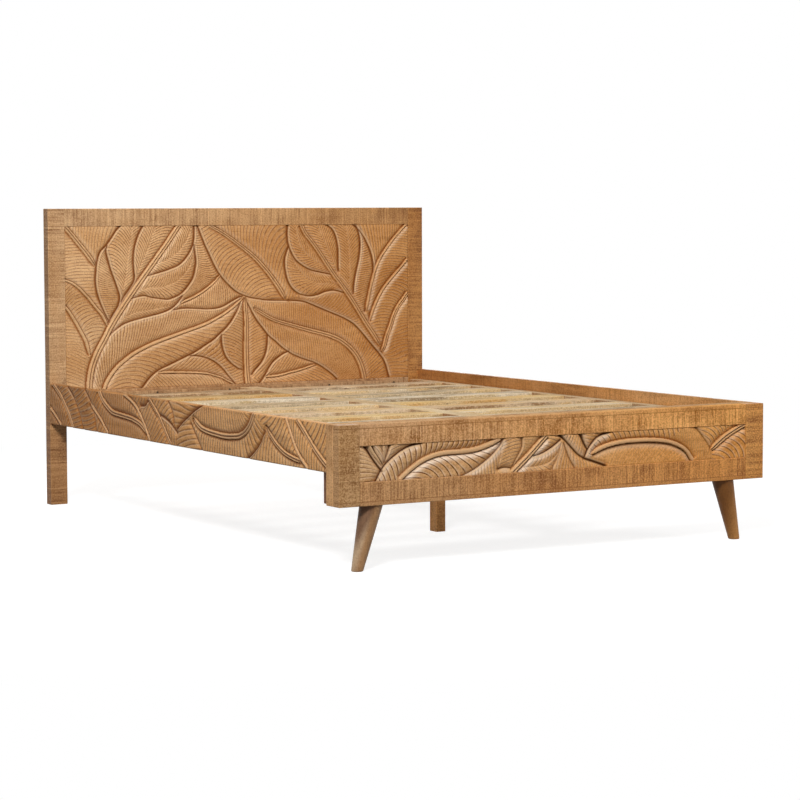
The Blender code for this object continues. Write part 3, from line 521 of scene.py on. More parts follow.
def cut_lines(finish, across, up, face, curves):
    """Cuts every line: a dark core, glazing in the cut with painted shade on its lee side, and on its lit
    side a rolled edge painted pale as a highlight, with a painted sheen beyond it. Returns how far the wood
    falls towards the lines, as a share, and the height of the rolled edges."""
    drop, roll = np.zeros((2,) + across.shape)
    top = face["span"][1][1]
    # Dark cores widen just below the face's top edge: a painted shadow under the rail above
    core_width = face["core"] * (1 + face["pit"] * np.exp(-(top - up) / SHADOW_BELOW_TOP_REACH))
    for name, curve in curves.items():
        share = face["faint"].get(name, 1.0)
        lee = face["turned"].get(name, face["lee"])
        chosen = near(curve, across, up, NEAR_REACH * face["reach"])
        core = share
        width = core_width[chosen] * face["deep"].get(name, 1.0)
        along, off, length, side = along_and_off(curve, across[chosen], up[chosen], False, lee)
        off = np.abs(off)
        if name in face["ribs"]:
            rib = face["ribs"][name]
            off, half, side, between = rib_section(rib, curve, across[chosen], up[chosen], face, lee)
            off = np.where(between, np.abs(off - half), np.inf)
            core = np.where(side > 0, LEE_CORE, 1.0)
            width = width * np.where(side > 0, 1.0, face["rib_core"])
        reach_here = face["reach"] * (SLOPE_REACH + LEE_REACH * side)
        steep = np.clip(1 - off / reach_here, 0, 1) ** STEEP_POWER
        broad = np.clip(1 - off / (BROAD_REACH * reach_here), 0, 1) ** 2
        keep_most(drop, chosen, share * (STEEP_SHARE * steep + (1 - STEEP_SHARE) * broad))
        keep_most(finish["cut"], chosen, core * bump_at(off, 0.0, width))
        # Glazing beside the cut, faded out on the lit side and full on the lee side as painted shade
        glaze_with_lee_shade = np.clip(LEVEL_GLAZE_AND_SHADE + (1 - LEVEL_GLAZE_AND_SHADE) * side, 0, 1)
        keep_most(finish["glaze"], chosen, share * glaze_with_lee_shade * bump_at(off, 0.0, face["glaze"]))
        from_end = np.minimum(along, length - along)
        windward = share * np.clip(WIND_START - WIND_RISE * side, 0, 1) * np.clip(from_end / END_FADE, 0, 1)
        # Painted sheen, a painted highlight, beyond the rolled edge on the lit side
        lit_side_sheen = windward * bump_at(off, face["bloom"], face["bloom"])
        keep_most(finish["bloom"], chosen, lit_side_sheen * face["waxed"].get(name, PLAIN_SHEEN))
        if name not in face["ribs"]:
            # A rolled edge on the lit side, painted pale as a highlight, with a ditch behind it
            bead = windward * bump_at(off, BEAD_PLACE, BEAD_WIDTH)
            ditch = windward * bump_at(off, DITCH_PLACE, DITCH_WIDTH)
            keep_most(finish["rubbed_and_highlit"], chosen, bead)
            keep_most(finish["cut"], chosen, face["ditch"] * ditch)
            roll[chosen] += BEAD_HEIGHT * bead - DITCH_DEPTH * ditch
    return drop, roll


def raise_ribs(finish, height, across, up, face, curves):
    """Rounds the ribs, which stand in the wood that falls away beside them, and grooves the double ones."""
    for name, rib in face["ribs"].items():
        lee = face["turned"].get(name, face["lee"])
        chosen = near(curves[name], across, up, NEAR_REACH * rib[0])
        off, half, side, between = rib_section(rib, curves[name], across[chosen], up[chosen], face, lee)
        on = (off < half) & between
        chosen, off, half, side = chosen[on], off[on], half[on], side[on]
        top = np.sqrt(np.clip(1 - (off / half) ** 4, 0, 1)) * np.clip(half / rib[1], 0, 1)
        height[chosen] = -RIB_SINK - (face["depth"] - RIB_SINK) * (1 - top)
        finish["cut"][chosen] = RIB_EDGE_CUT * (1 - top)
        finish["glaze"][chosen] = np.clip(-side, 0, 1) * (1 - top)
        finish["rubbed_and_highlit"][chosen] = RIB_RUBBING * top
        finish["bloom"][chosen] = 0.0
        finish["tone"][chosen] = face["rib_tone"]
        finish["vein"][chosen] = 0.0
        if rib[2] == "double":
            groove = bump_at(off, 0.0, face["groove"])
            height[chosen] -= RIB_GROOVE * groove
            keep_most(finish["cut"], chosen, groove)


# What the finish reads on a carved face, and on the plain back, which is darker and shows saw marks
FINISH_LAYERS = ("cut", "glaze", "rubbed_and_highlit", "bloom", "tone", "vein_count", "vein", "plain")
BACK_VALUES = {"tone": -0.055, "plain": 1.0}


def carve(across, up, face):
    """Height in millimetres of each point of a carved face, and what the finish reads there: the dark core
    of the cuts, the glazing and painted shade beside them, rib tops worn by rubbing and rolled edges painted
    pale as highlights, painted sheen, the tone of the wood, and the veins."""
    finish = {name: np.zeros(across.shape) for name in FINISH_LAYERS}
    curves = {name: smooth_line(points) for name, points in face["lines"].items()}
    score_leaves(finish, across, up, face, curves)
    drop, roll = cut_lines(finish, across, up, face, curves)
    finish["vein"] *= 1 - VEIN_FADE * drop
    ridge = (np.abs(finish["vein_count"] % 1.0 - 0.5) * 2) ** 2
    (left, low), (right, high) = face["span"]
    from_edge = np.minimum(up - low, high - up)
    from_border = np.minimum(np.minimum(across - left, right - across), from_edge)
    border = face["border"] * bump_at(from_border, 0.0, BORDER_WIDTH)
    height = np.minimum(roll - face["depth"] * drop, 0)
    height -= VEIN_DEPTH * finish["vein"] * ridge + BORDER_DEPTH * border
    raise_ribs(finish, height, across, up, face, curves)
    finish["cut"] = np.maximum(finish["cut"], border)
    if face["ease"]:
        height -= face["ease"] * np.clip(1 - from_edge / face["ease"], 0, 1) ** 2
    return height + face["proud"], finish


# Carved boards in place of the flat CAD ones. Edges that turn further than this, in radians, are sharp
SHARP_TURN = 1.2


def board_block(low, high, thickness):
    """A board lying flat: a fine grid with plain sides and back, and the number of the grid's points."""
    width, depth = high - low
    middle = (low + high) / 2
    columns = max(2, round(width / (CARVE_STEP * MM)))
    rows = max(2, round(depth / (CARVE_STEP * MM)))
    bm = bmesh.new()
    bmesh.ops.create_grid(bm, x_segments=columns, y_segments=rows, size=0.5)
    bmesh.ops.scale(bm, vec=(width, depth, 1), verts=bm.verts)
    bmesh.ops.translate(bm, vec=(*middle, 0), verts=bm.verts)
    grid_count = len(bm.verts)
    rim = [edge for edge in bm.edges if edge.is_boundary]
    grown = bmesh.ops.extrude_edge_only(bm, edges=rim)["geom"]
    back = [item for item in grown if isinstance(item, bmesh.types.BMVert)]
    bmesh.ops.translate(bm, vec=(0, 0, -thickness), verts=back)
    bmesh.ops.contextual_create(bm, geom=[item for item in grown if isinstance(item, bmesh.types.BMEdge)])
    for side in bm.faces:
        side.smooth = len(side.verts) == 4
    bm.verts.index_update()
    return bm, grid_count


def stand_up(mesh, grid_count, height, face_axis, front, outward):
    """Gives the grid its carved height, and turns the lying board to its place."""
    flat = np.empty(len(mesh.vertices) * 3)
    mesh.vertices.foreach_get("co", flat)
    flat = flat.reshape(-1, 3)
    flat[:grid_count, 2] += height * MM
    placed = np.empty_like(flat)
    placed[:, 1 - face_axis] = flat[:, 0]
    placed[:, 2] = flat[:, 1]
    placed[:, face_axis] = front + outward * flat[:, 2]
    mesh.vertices.foreach_set("co", placed.ravel())


def carved_board(name, low, high, face_axis, front, outward, thickness, face):
    """A board with one carved face, whose points carry the values of its finish."""
    bm, grid_count = board_block(low, high, thickness)
    plane = np.array([vertex.co for vertex in bm.verts])[:grid_count]
    mesh = bpy.data.meshes.new(name)
    bm.to_mesh(mesh)
    bm.free()
    height, finish = carve(plane[:, 0] / MM - face["start"], plane[:, 1] / MM, face)
    stand_up(mesh, grid_count, height, face_axis, front, outward)
    for label, values in finish.items():
        layer = mesh.attributes.new(label, "FLOAT", "POINT")
        full = np.full(len(mesh.vertices), BACK_VALUES.get(label, 0.0))
        full[:grid_count] = values
        layer.data.foreach_set("value", full)
    bm = bmesh.new()
    bm.from_mesh(mesh)
    bmesh.ops.recalc_face_normals(bm, faces=bm.faces)
    for edge in bm.edges:
        if edge.calc_face_angle(0) > SHARP_TURN:
            edge.smooth = False
    bm.to_mesh(mesh)
    bm.free()
    piece = bpy.data.objects.new(name, mesh)
    bpy.context.collection.objects.link(piece)
    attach(piece, "root")
    return piece


def carved_boards(node, low, high, face_axis, front, outward, thickness, material, face, count=1):
    """Carved boards side by side in place of one flat CAD board."""
    marks = np.linspace(low[0], high[0], count + 1)
    for number, (start, end) in enumerate(zip(marks[:-1], marks[1:]), 1):
        label = node + "_board" if count == 1 else "%s_board_%d" % (node, number)
        corners = np.array((start, low[1])), np.array((end, high[1]))
        board = carved_board(label, *corners, face_axis, front, outward, thickness, face)
        board.data.materials.append(material)
        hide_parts(node)


# Colours and node helpers
def srgb(red, green, blue):
    """A colour as seen on screen, 0 to 255, as shader values."""
    values = []
    for part in (red, green, blue):
        part /= 255
        values.append(part / 12.92 if part <= 0.04045 else ((part + 0.055) / 1.055) ** 2.4)
    return (*values, 1.0)


def tinted(colour, tint):
    """A colour with its red, green and blue each multiplied."""
    return tuple(part * share for part, share in zip(colour[:3], tint)) + (1.0,)


def scaled(colour, share):
    """A colour made darker or lighter by a share."""
    return tinted(colour, (share, share, share))


def add(tree, kind, values=None, **settings):
    """A node with its settings and input values."""
    made = tree.nodes.new(kind)
    for key, value in settings.items():
        setattr(made, key, value)
    for key, value in (values or {}).items():
        made.inputs[key].default_value = value
    return made


def feed(tree, socket, value):
    """Gives a socket a link or a plain value."""
    if isinstance(value, bpy.types.NodeSocket):
        tree.links.new(value, socket)
    else:
        socket.default_value = value


def mix_colour(tree, factor, first, second, blend="MIX"):
    """A colour mix. Each input is a socket or a plain value."""
    made = add(tree, "ShaderNodeMix", data_type="RGBA", blend_type=blend)
    for number, value in ((0, factor), (6, first), (7, second)):
        feed(tree, made.inputs[number], value)
    return made.outputs[2]


def reach(tree, value, low, high, to_low=0.0, to_high=1.0):
    """A value mapped smoothly from one range to another."""
    ends = {"From Min": low, "From Max": high, "To Min": to_low, "To Max": to_high}
    made = add(tree, "ShaderNodeMapRange", ends, interpolation_type="SMOOTHSTEP")
    tree.links.new(value, made.inputs["Value"])
    return made.outputs[0]


def maths(tree, operation, first, second=0.0):
    """A sum on one or two values, each a socket or a plain number."""
    made = add(tree, "ShaderNodeMath", operation=operation)
    for socket, value in zip(made.inputs, (first, second)):
        feed(tree, socket, value)
    return made.outputs[0]


def times(tree, first, second):
    """Two values multiplied."""
    return maths(tree, "MULTIPLY", first, second)


def stretched_noise(tree, place, scale, size, detail=3.0, rough=0.55, shift=(0, 0, 0)):
    """Noise on Object coordinates, stretched by scale and moved by shift."""
    mapping = add(tree, "ShaderNodeMapping", {"Scale": scale, "Location": shift})
    tree.links.new(place, mapping.inputs["Vector"])
    noise = add(tree, "ShaderNodeTexNoise", {"Scale": size, "Detail": detail, "Roughness": rough})
    tree.links.new(mapping.outputs[0], noise.inputs["Vector"])
    return noise.outputs[0]


def attribute(tree, name):
    """A value stored on the piece's own points."""
    return add(tree, "ShaderNodeAttribute", attribute_name=name).outputs["Fac"]


def axes_of(tree, vector):
    """The X, Y and Z of a vector."""
    made = tree.nodes.new("ShaderNodeSeparateXYZ")
    tree.links.new(vector, made.inputs[0])
    return made.outputs


def band(tree, value, middle, half):
    """One where a value lies within half of the middle, and nothing elsewhere."""
    made = add(tree, "ShaderNodeMath", {1: middle, 2: half}, operation="COMPARE")
    tree.links.new(value, made.inputs[0])
    return made.outputs[0]


def new_material(name):
    """A material with its node tree, its shader and a node of coordinates."""
    material = bpy.data.materials.new(name)
    material.use_nodes = True
    tree = material.node_tree
    return material, tree, tree.nodes["Principled BSDF"], tree.nodes.new("ShaderNodeTexCoord")


# Rubbed edges of the boards: where the rub starts and ends, in metres, and how near two faces' edges meet
RUB_NEAR = 0.0005
RUB_FAR = 0.006
RUB_MEETING = (1.25, 2.0)


def board_edges(tree, place, node):
    """One along the edges of a CAD board, where its finish is worn pale."""
    low, high = (Vector(corner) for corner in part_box(node))
    shifted = add(tree, "ShaderNodeVectorMath", {1: (low + high) / 2}, operation="SUBTRACT")
    tree.links.new(place, shifted.inputs[0])
    folded = add(tree, "ShaderNodeVectorMath", operation="ABSOLUTE")
    tree.links.new(shifted.outputs[0], folded.inputs[0])
    inset = add(tree, "ShaderNodeVectorMath", {0: (high - low) / 2}, operation="SUBTRACT")
    tree.links.new(folded.outputs[0], inset.inputs[1])
    total = 0.0
    for part in axes_of(tree, inset.outputs[0]):
        total = maths(tree, "ADD", reach(tree, part, RUB_NEAR, RUB_FAR, 1.0, 0.0), total)
    return reach(tree, total, *RUB_MEETING)


# How strongly each carved face shows its veins, the highlights painted beside them, glazing and painted
# shade, painted sheen, worn rib tops and rims painted as highlights, and dark cuts, and colours
HEAD_LOOK = {
    "score": 1.0, "vein_highlight": 0.25, "gaps": 0.8, "glaze": 0.8, "bloom": 0.8, "bead": 0.6, "core": 0.9,
    "vein_edge": 0.28, "vein_colour": srgb(104, 54, 14), "glaze_and_shade_colour": srgb(132, 70, 20),
    "core_colour": srgb(98, 48, 8), "painted_sheen_colour": srgb(234, 206, 174), "bead_colour": srgb(208, 172, 132),
}
FOOT_LOOK = {
    "score": 0.97, "vein_highlight": 0.2, "gaps": 0.3, "glaze": 0.65, "bloom": 0.82, "bead": 0.85, "core": 0.95,
    "vein_edge": 0.34, "vein_colour": srgb(104, 58, 20), "glaze_and_shade_colour": srgb(138, 76, 26),
    "core_colour": srgb(60, 27, 4), "painted_sheen_colour": srgb(244, 226, 206), "bead_colour": srgb(210, 174, 135),
}
RAIL_LOOK = {
    "score": 0.82, "vein_highlight": 0.45, "gaps": 0.5, "glaze": 0.75, "bloom": 0.6, "bead": 0.9, "core": 0.88,
    "vein_edge": 0.24, "vein_colour": srgb(90, 45, 12), "glaze_and_shade_colour": srgb(118, 61, 18),
    "core_colour": srgb(88, 42, 8), "painted_sheen_colour": srgb(216, 187, 153), "bead_colour": srgb(202, 167, 131),
}

# Parts of a vein's run from 0 to 1, and the ranges in which the values of a carved face show
VEIN_MIDDLE = 0.49
VEIN_HIGHLIGHT_RUN = (0.12, 0.42)
GAP_RUN = (0.15, 0.6)
BROKEN_SIZE = 45.0
BROKEN_RANGE = (0.3, 0.6, 0.45, 1.0)
GLAZE_AND_SHADE_RANGE = (0.04, 0.9)
CORE_RANGE = (0.05, 1.0)
TONE_LIFT = 1.6


def carved_finish(tree, place, colour, look):
    """Colour and relief of a carved face: scored veins with highlights painted beside them, glazing in the
    cuts with painted shade on their lee side, painted sheen on their lit side, rib tops worn by rubbing and
    rims painted as highlights, and dark cores.
    """
    run = maths(tree, "FRACT", attribute(tree, "vein_count"))
    middle = maths(tree, "ABSOLUTE", maths(tree, "SUBTRACT", run, 0.5))
    broken = reach(tree, stretched_noise(tree, place, (1, 1, 1), BROKEN_SIZE), *BROKEN_RANGE)
    vein = attribute(tree, "vein")
    score = times(tree, times(tree, reach(tree, middle, look["vein_edge"], VEIN_MIDDLE), vein), broken)
    # Pale strokes on one side of each vein: painted highlights on the vein ridges
    vein_highlight = times(tree, reach(tree, run, *VEIN_HIGHLIGHT_RUN, look["vein_highlight"], 0.0), vein)
    gaps = times(tree, reach(tree, run, *GAP_RUN, 0.0, look["gaps"]), vein)
    levels = tree.nodes.new("ShaderNodeHueSaturation")
    tree.links.new(colour, levels.inputs["Color"])
    lift = maths(tree, "ADD", times(tree, attribute(tree, "tone"), TONE_LIFT), 1.0)
    tree.links.new(lift, levels.inputs["Value"])
    colour = mix_colour(tree, vein_highlight, levels.outputs[0], look["painted_sheen_colour"])
    colour = mix_colour(tree, times(tree, score, look["score"]), colour, look["vein_colour"])
    # Glazing in the cuts, darker on their lee side as painted shade
    glaze = reach(tree, attribute(tree, "glaze"), *GLAZE_AND_SHADE_RANGE, 0.0, look["glaze"])
    colour = mix_colour(tree, glaze, colour, look["glaze_and_shade_colour"])
    bare = maths(tree, "SUBTRACT", 1.0, maths(tree, "MAXIMUM", gaps, score))
    # Painted sheen on the lit side of the lines, broken where veins are scored
    bloom = times(tree, times(tree, attribute(tree, "bloom"), look["bloom"]), bare)
    colour = mix_colour(tree, bloom, colour, look["painted_sheen_colour"])
    # Rib tops worn pale by rubbing, and rolled edges painted pale as highlights
    bead = times(tree, attribute(tree, "rubbed_and_highlit"), look["bead"])
    colour = mix_colour(tree, bead, colour, look["bead_colour"])
    core = reach(tree, attribute(tree, "cut"), *CORE_RANGE, 0.0, look["core"])
    return mix_colour(tree, core, colour, look["core_colour"]), score


# Noises of the timber: scale along the board and across it, size, detail and unevenness
TIMBER_NOISES = {
    "figure": (1.5, 5.0, 1.6, 3.0, 0.55),
    "grain": (1.6, 30.0, 2.0, 4.0, 0.6),
    "pores": (30.0, 420.0, 1.0, 2.0, 0.5),
    "streaks": (3.0, 20.0, 1.0, 5.0, 0.68),
    "knots": (26.0, 48.0, 1.0, 1.0, 0.4),
    "flank_runs": (5.0, 2.0, 1.0, 2.0, 0.6),
    "wide_saw": (105.0, 3.0, 1.0, 3.0, 0.7),
    "fine_saw": (230.0, 8.0, 1.0, 2.0, 0.6),
    "saw_patches": (9.0, 14.0, 1.0, 3.0, 0.6),
    "specks": (1.0, 1.0, 190.0, 2.0, 0.6),
    "wear": (1.0, 1.0, 25.0, 3.0, 0.55),
}
SEED_SHIFT = (3.1, 1.7, 2.3)

# Ranges in which each noise shows, and strengths
FIGURE_RANGE = (0.32, 0.68)
DARK_STREAK = (0.5, 0.66)
YELLOW_STREAK = (0.48, 0.36)
YELLOW_TINT = (1.0, 0.84, 0.55)
KNOT_RANGE = (0.76, 0.80)
KNOT_SHARE = 0.8
KNOT_BROWN = srgb(96, 62, 38)
FLANK_FACING = (0.4, 0.7)
FLANK_STRENGTH = 0.85
FLANK_RUNS = (0.42, 0.56)
FLANK_LOSS = 0.88
GRAIN_RANGE = (0.48, 0.8)
GRAIN_STRENGTH = 0.34
GRAIN_SAWN_OFF = 0.28
PORE_RANGE = (0.56, 0.72)
PORE_STRENGTH = 0.3
SAW_CUT = (0.46, 0.6)
SAW_RIDGE = (0.46, 0.32)
WIDE_SAW = 0.6
FINE_SAW = 0.5
SAW_PATCH = (0.3, 0.65, 0.4, 1.0)
DARK_PATCH = (0.5, 0.7)
RIDGE_STRENGTH = 0.7
RIDGE_LIFT = 1.2
CUT_STRENGTH = 0.85
PATCH_STRENGTH = 0.42
BACK_SAW = 0.25
DARK_SPECK = (0.5, 0.65)
PALE_SPECK = (0.48, 0.36)
PALE_LIFT = 1.15
WEAR_RANGE = (0.3, 0.7, 0.05, 0.3)
SANDED_EDGE = 0.001
SANDED_MARKS = 0.1
SANDED_TINT = (0.86, 0.84, 0.83)
SANDED_LINE = 0.0012
SANDED_LINE_STRENGTH = 0.6
ROUGH_RANGE = (0.2, 0.8)
ROUGH_LESS = 0.07
ROUGH_MORE = 0.1
PORE_RELIEF = -0.3
SCORE_RELIEF = -0.9
BUMP = {"Strength": 0.6, "Distance": 0.0012}


def wood(name, along, pale, deep, dark, saw=0.5, rough=0.55, seed=0.0, carved=None, drifts=(), edges=None,
         sanded=(), flank=None, gloss=0.25, speckle=0.3, mottle=0.0):
    """Sanded timber with grain along the board, pores, specks and saw marks across it. A drift multiplies the
    colour from one place along a direction to another, mostly as painted light and shade, edges names a board
    whose edges are worn pale, saw marks stop at the sanded heights, a flank is the colour painted on the
    faces that look along one axis for their light and shade, and mottle is the strength of dark and yellow
    streaks."""
    material, tree, shader, source = new_material(name)
    place = source.outputs["Object"]
    height_up = axes_of(tree, place)["Z"]
    shift = tuple(seed * part for part in SEED_SHIFT)

    def noise(layer, moved=shift):
        lengthwise, crosswise, size, detail, uneven = TIMBER_NOISES[layer]
        scale = tuple(lengthwise if axis == along else crosswise for axis in range(3))
        return stretched_noise(tree, place, scale, size, detail, uneven, moved)

    def mix_in(factor, shade, blend="MIX"):
        return mix_colour(tree, factor, colour, shade, blend)

    grain = noise("grain")
    pores = noise("pores")
    colour = mix_colour(tree, reach(tree, noise("figure"), *FIGURE_RANGE), pale, deep)
    if mottle:
        streaks = noise("streaks")
        colour = mix_in(reach(tree, streaks, *DARK_STREAK, 0.0, mottle), dark)
        colour = mix_in(reach(tree, streaks, *YELLOW_STREAK, 0.0, mottle), tinted(pale, YELLOW_TINT))
        colour = mix_in(reach(tree, noise("knots"), *KNOT_RANGE, 0.0, KNOT_SHARE * mottle), KNOT_BROWN)
    # Flank: colour painted on the faces that look along one axis, for their light and shade
    if flank:
        facing = maths(tree, "ABSOLUTE", axes_of(tree, source.outputs["Normal"])[flank[0]])
        shown = reach(tree, facing, *FLANK_FACING, 0.0, FLANK_STRENGTH)
        if mottle:
            runs = reach(tree, noise("flank_runs"), *FLANK_RUNS, 1 - FLANK_LOSS * mottle, 1.0)
            shown = times(tree, shown, runs)
        colour = mix_in(shown, flank[1])
    colour = mix_in(reach(tree, grain, *GRAIN_RANGE, 0.0, GRAIN_STRENGTH - GRAIN_SAWN_OFF * saw), dark)
    colour = mix_in(reach(tree, pores, *PORE_RANGE, 0.0, PORE_STRENGTH), dark)
    wide = noise("wide_saw")
    patches = noise("saw_patches")
    mark = maths(tree, "ADD", reach(tree, wide, *SAW_CUT, 0.0, WIDE_SAW),
                 reach(tree, noise("fine_saw"), *SAW_CUT, 0.0, FINE_SAW))
    mark = times(tree, mark, reach(tree, patches, *SAW_PATCH))
    for edge, upward in sanded:
        left_over = reach(tree, height_up, edge, edge + SANDED_EDGE * upward, 1.0, SANDED_MARKS)
        mark = times(tree, mark, left_over)
    colour = mix_in(reach(tree, wide, *SAW_RIDGE, 0.0, RIDGE_STRENGTH * saw), scaled(pale, RIDGE_LIFT))
    colour = mix_in(times(tree, mark, CUT_STRENGTH * saw), dark)
    colour = mix_in(reach(tree, patches, *DARK_PATCH, 0.0, PATCH_STRENGTH * saw), dark)
    specks = noise("specks")
    colour = mix_in(reach(tree, specks, *DARK_SPECK, 0.0, speckle), dark)
    colour = mix_in(reach(tree, specks, *PALE_SPECK, 0.0, speckle), scaled(pale, PALE_LIFT))
    relief = maths(tree, "ADD", times(tree, mark, -saw), times(tree, pores, PORE_RELIEF))
    if edges:
        worn = reach(tree, noise("wear", (0, 0, 0)), *WEAR_RANGE)
        colour = mix_in(times(tree, board_edges(tree, place, edges), worn), scaled(pale, PALE_LIFT))
    for edge, upward in sanded:
        strip = reach(tree, height_up, edge, edge + SANDED_EDGE * upward)
        colour = mix_in(strip, (*SANDED_TINT, 1.0), "MULTIPLY")
        line = band(tree, height_up, edge, SANDED_LINE)
        colour = mix_in(times(tree, line, SANDED_LINE_STRENGTH), dark)
    # Drifts: most of them paint light and shade across the board
    for direction, first, last, tint in drifts:
        way = add(tree, "ShaderNodeVectorMath", {1: direction}, operation="DOT_PRODUCT")
        tree.links.new(place, way.inputs[0])
        colour = mix_in(reach(tree, way.outputs["Value"], first, last), (*tint, 1.0), "MULTIPLY")
    if carved:
        colour, score = carved_finish(tree, place, colour, carved)
        colour = mix_in(times(tree, times(tree, mark, attribute(tree, "plain")), BACK_SAW), dark)
        relief = maths(tree, "ADD", relief, times(tree, score, SCORE_RELIEF))
    tree.links.new(colour, shader.inputs["Base Color"])
    roughness = reach(tree, grain, *ROUGH_RANGE, rough - ROUGH_LESS, rough + ROUGH_MORE)
    tree.links.new(roughness, shader.inputs["Roughness"])
    bump = add(tree, "ShaderNodeBump", BUMP)
    tree.links.new(relief, bump.inputs["Height"])
    tree.links.new(bump.outputs[0], shader.inputs["Normal"])
    shader.inputs["Specular IOR Level"].default_value = gloss
    return material


# Steel: brushing, blotches, and how rough and dark they make it
STEEL_BRUSHING = (20, 20, 400)
STEEL_BLOTCH = 60.0
STEEL_RANGE = (0.3, 0.7)
STEEL_DARKER = 0.75
STEEL_ROUGH = (0.2, 0.8, 0.32, 0.5)


def steel(name, tint):
    """Zinc-plated steel with faint brushing."""
    material, tree, shader, source = new_material(name)
    place = source.outputs["Object"]
    blotch = reach(tree, stretched_noise(tree, place, (1, 1, 1), STEEL_BLOTCH), *STEEL_RANGE)
    colour = mix_colour(tree, blotch, tint, scaled(tint, STEEL_DARKER))
    tree.links.new(colour, shader.inputs["Base Color"])
    brushing = stretched_noise(tree, place, STEEL_BRUSHING, 1.0)
    tree.links.new(reach(tree, brushing, *STEEL_ROUGH), shader.inputs["Roughness"])
    shader.inputs["Metallic"].default_value = 1.0
    return material


# Timber colours
HONEY_COLOURS = (srgb(207, 167, 123), srgb(187, 142, 95), srgb(120, 76, 40))
HONEY_TINT = (0.92, 0.94, 0.96)
HONEY_ROUGH = 0.52
PANEL_COLOURS = (srgb(208, 168, 123), srgb(187, 141, 92), srgb(112, 67, 31))
RAIL_COLOURS = (srgb(232, 179, 121), srgb(218, 161, 100), srgb(96, 56, 25))
LEG_DARK = srgb(82, 49, 24)
# The left leg is painted pale for the light on its outer side; its drifts paint the shade inwards
LEFT_LEG_COLOURS = (srgb(219, 194, 161), srgb(195, 166, 134), LEG_DARK)
RIGHT_LEG_COLOURS = (srgb(206, 148, 86), srgb(184, 126, 66), LEG_DARK)
# The centre leg stands in the shade under the bed and is painted 1.9 times lighter, as painted light; its
# front and back faces less so, as painted shade
CENTRE_LEG_PALE = scaled(srgb(166, 119, 71), 1.9)
CENTRE_LEG_DEEP = scaled(srgb(144, 99, 56), 1.9)
CENTRE_LEG_FLANK = scaled(srgb(144, 99, 56), 1.45)
# The corner blocks are painted dark, as painted shade for where they stand under the rails
BLOCK_COLOURS = (srgb(128, 82, 52), srgb(106, 64, 38), srgb(62, 34, 18))
BATTEN_COLOURS = (srgb(230, 208, 172), srgb(208, 178, 136), srgb(146, 114, 78))

# Painted light and shade: the headboard is painted darker and warmer towards the bed's right side, the
# footboard lighter and warmer, and the posts darker towards the floor; the rails turn darker towards the
# head, and the front legs get painted shade on their inner sides and, on the left leg, a painted shadow at
# its outer top
BED_SIDES = (-0.85, 0.85)
HEAD_SHADE_TO_RIGHT = (TO_RIGHT, *BED_SIDES, (0.95, 0.74, 0.48))
HEAD_RAIL_SHADE_TO_RIGHT = (TO_RIGHT, *BED_SIDES, (0.98, 0.86, 0.66))
FOOT_LIGHT_TO_RIGHT = (TO_RIGHT, *BED_SIDES, (1.32, 1.06, 0.63))
FOOT_TOP_LIGHT_TO_RIGHT = (TO_RIGHT, *BED_SIDES, (1.44, 1.20, 0.74))
FOOT_PANEL_LIGHT_TO_RIGHT = (TO_RIGHT, *BED_SIDES, (1.48, 1.20, 0.74))
POST_SHADE_TO_FLOOR = (UPWARD, 0.45, 0.22, (0.80, 0.68, 0.56))
RAIL_DRIFT = (TO_HEAD, -1.0, 1.0, (0.61, 0.50, 0.39))
LEG_LEFT_INNER_SHADE = ((1, 0, -0.25), -0.741, -0.720, (0.62, 0.47, 0.335))
LEG_LEFT_PAINTED_SHADOW = ((-2.4, 0, 1), 1.778, 1.833, (0.34, 0.25, 0.21))
LEG_RIGHT_INNER_SHADE = (TO_RIGHT, 0.730, 0.655, (0.36, 0.30, 0.24))

# Flanks: the colour of the faces that look along one axis, painted for their light and shade: the posts'
# sides darker as painted shade, the foot stile's side and the footboard's top faces paler as painted light,
# and the battens' sides a darker brown, part edge grain and part painted shade
POST_FLANK = (ALONG_X, srgb(140, 104, 68))
STILE_FLANK = (ALONG_X, srgb(204, 158, 110))
FOOT_TOP_FLANK = (ALONG_Z, srgb(218, 180, 138))
BATTEN_FLANK = (ALONG_X, srgb(158, 104, 60))

# The footboard's frame is sanded in a strip along its upper and lower edge
FOOT_STRIP = 0.013
FOOT_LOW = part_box("foot_bottom_rail")[0][2]
FOOT_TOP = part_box("foot_top_rail")[1][2]
FOOT_STRIPS = ((FOOT_TOP - FOOT_STRIP, 1), (FOOT_LOW + FOOT_STRIP, -1))


def honey(name, along, seed, saw=0.85, tint=HONEY_TINT, **more):
    """The frame's honey-coloured timber, lighter or darker by a tint."""
    colours = [tinted(colour, tint) for colour in HONEY_COLOURS]
    return wood(name, along, *colours, saw, HONEY_ROUGH, seed, **more)


def dress(material, *names):
    """Gives CAD nodes their material."""
    for name in names:
        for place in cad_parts[name].material_slots:
            place.material = material


def dress_board(node, along, seed, **more):
    """Gives one frame board its own timber, with edges worn pale."""
    dress(honey(node + "_wood", along, seed, edges=node, **more), node)


def both_sides(*names):
    """The names of left and right nodes."""
    return [name + side for name in names for side in ("_left", "_right")]


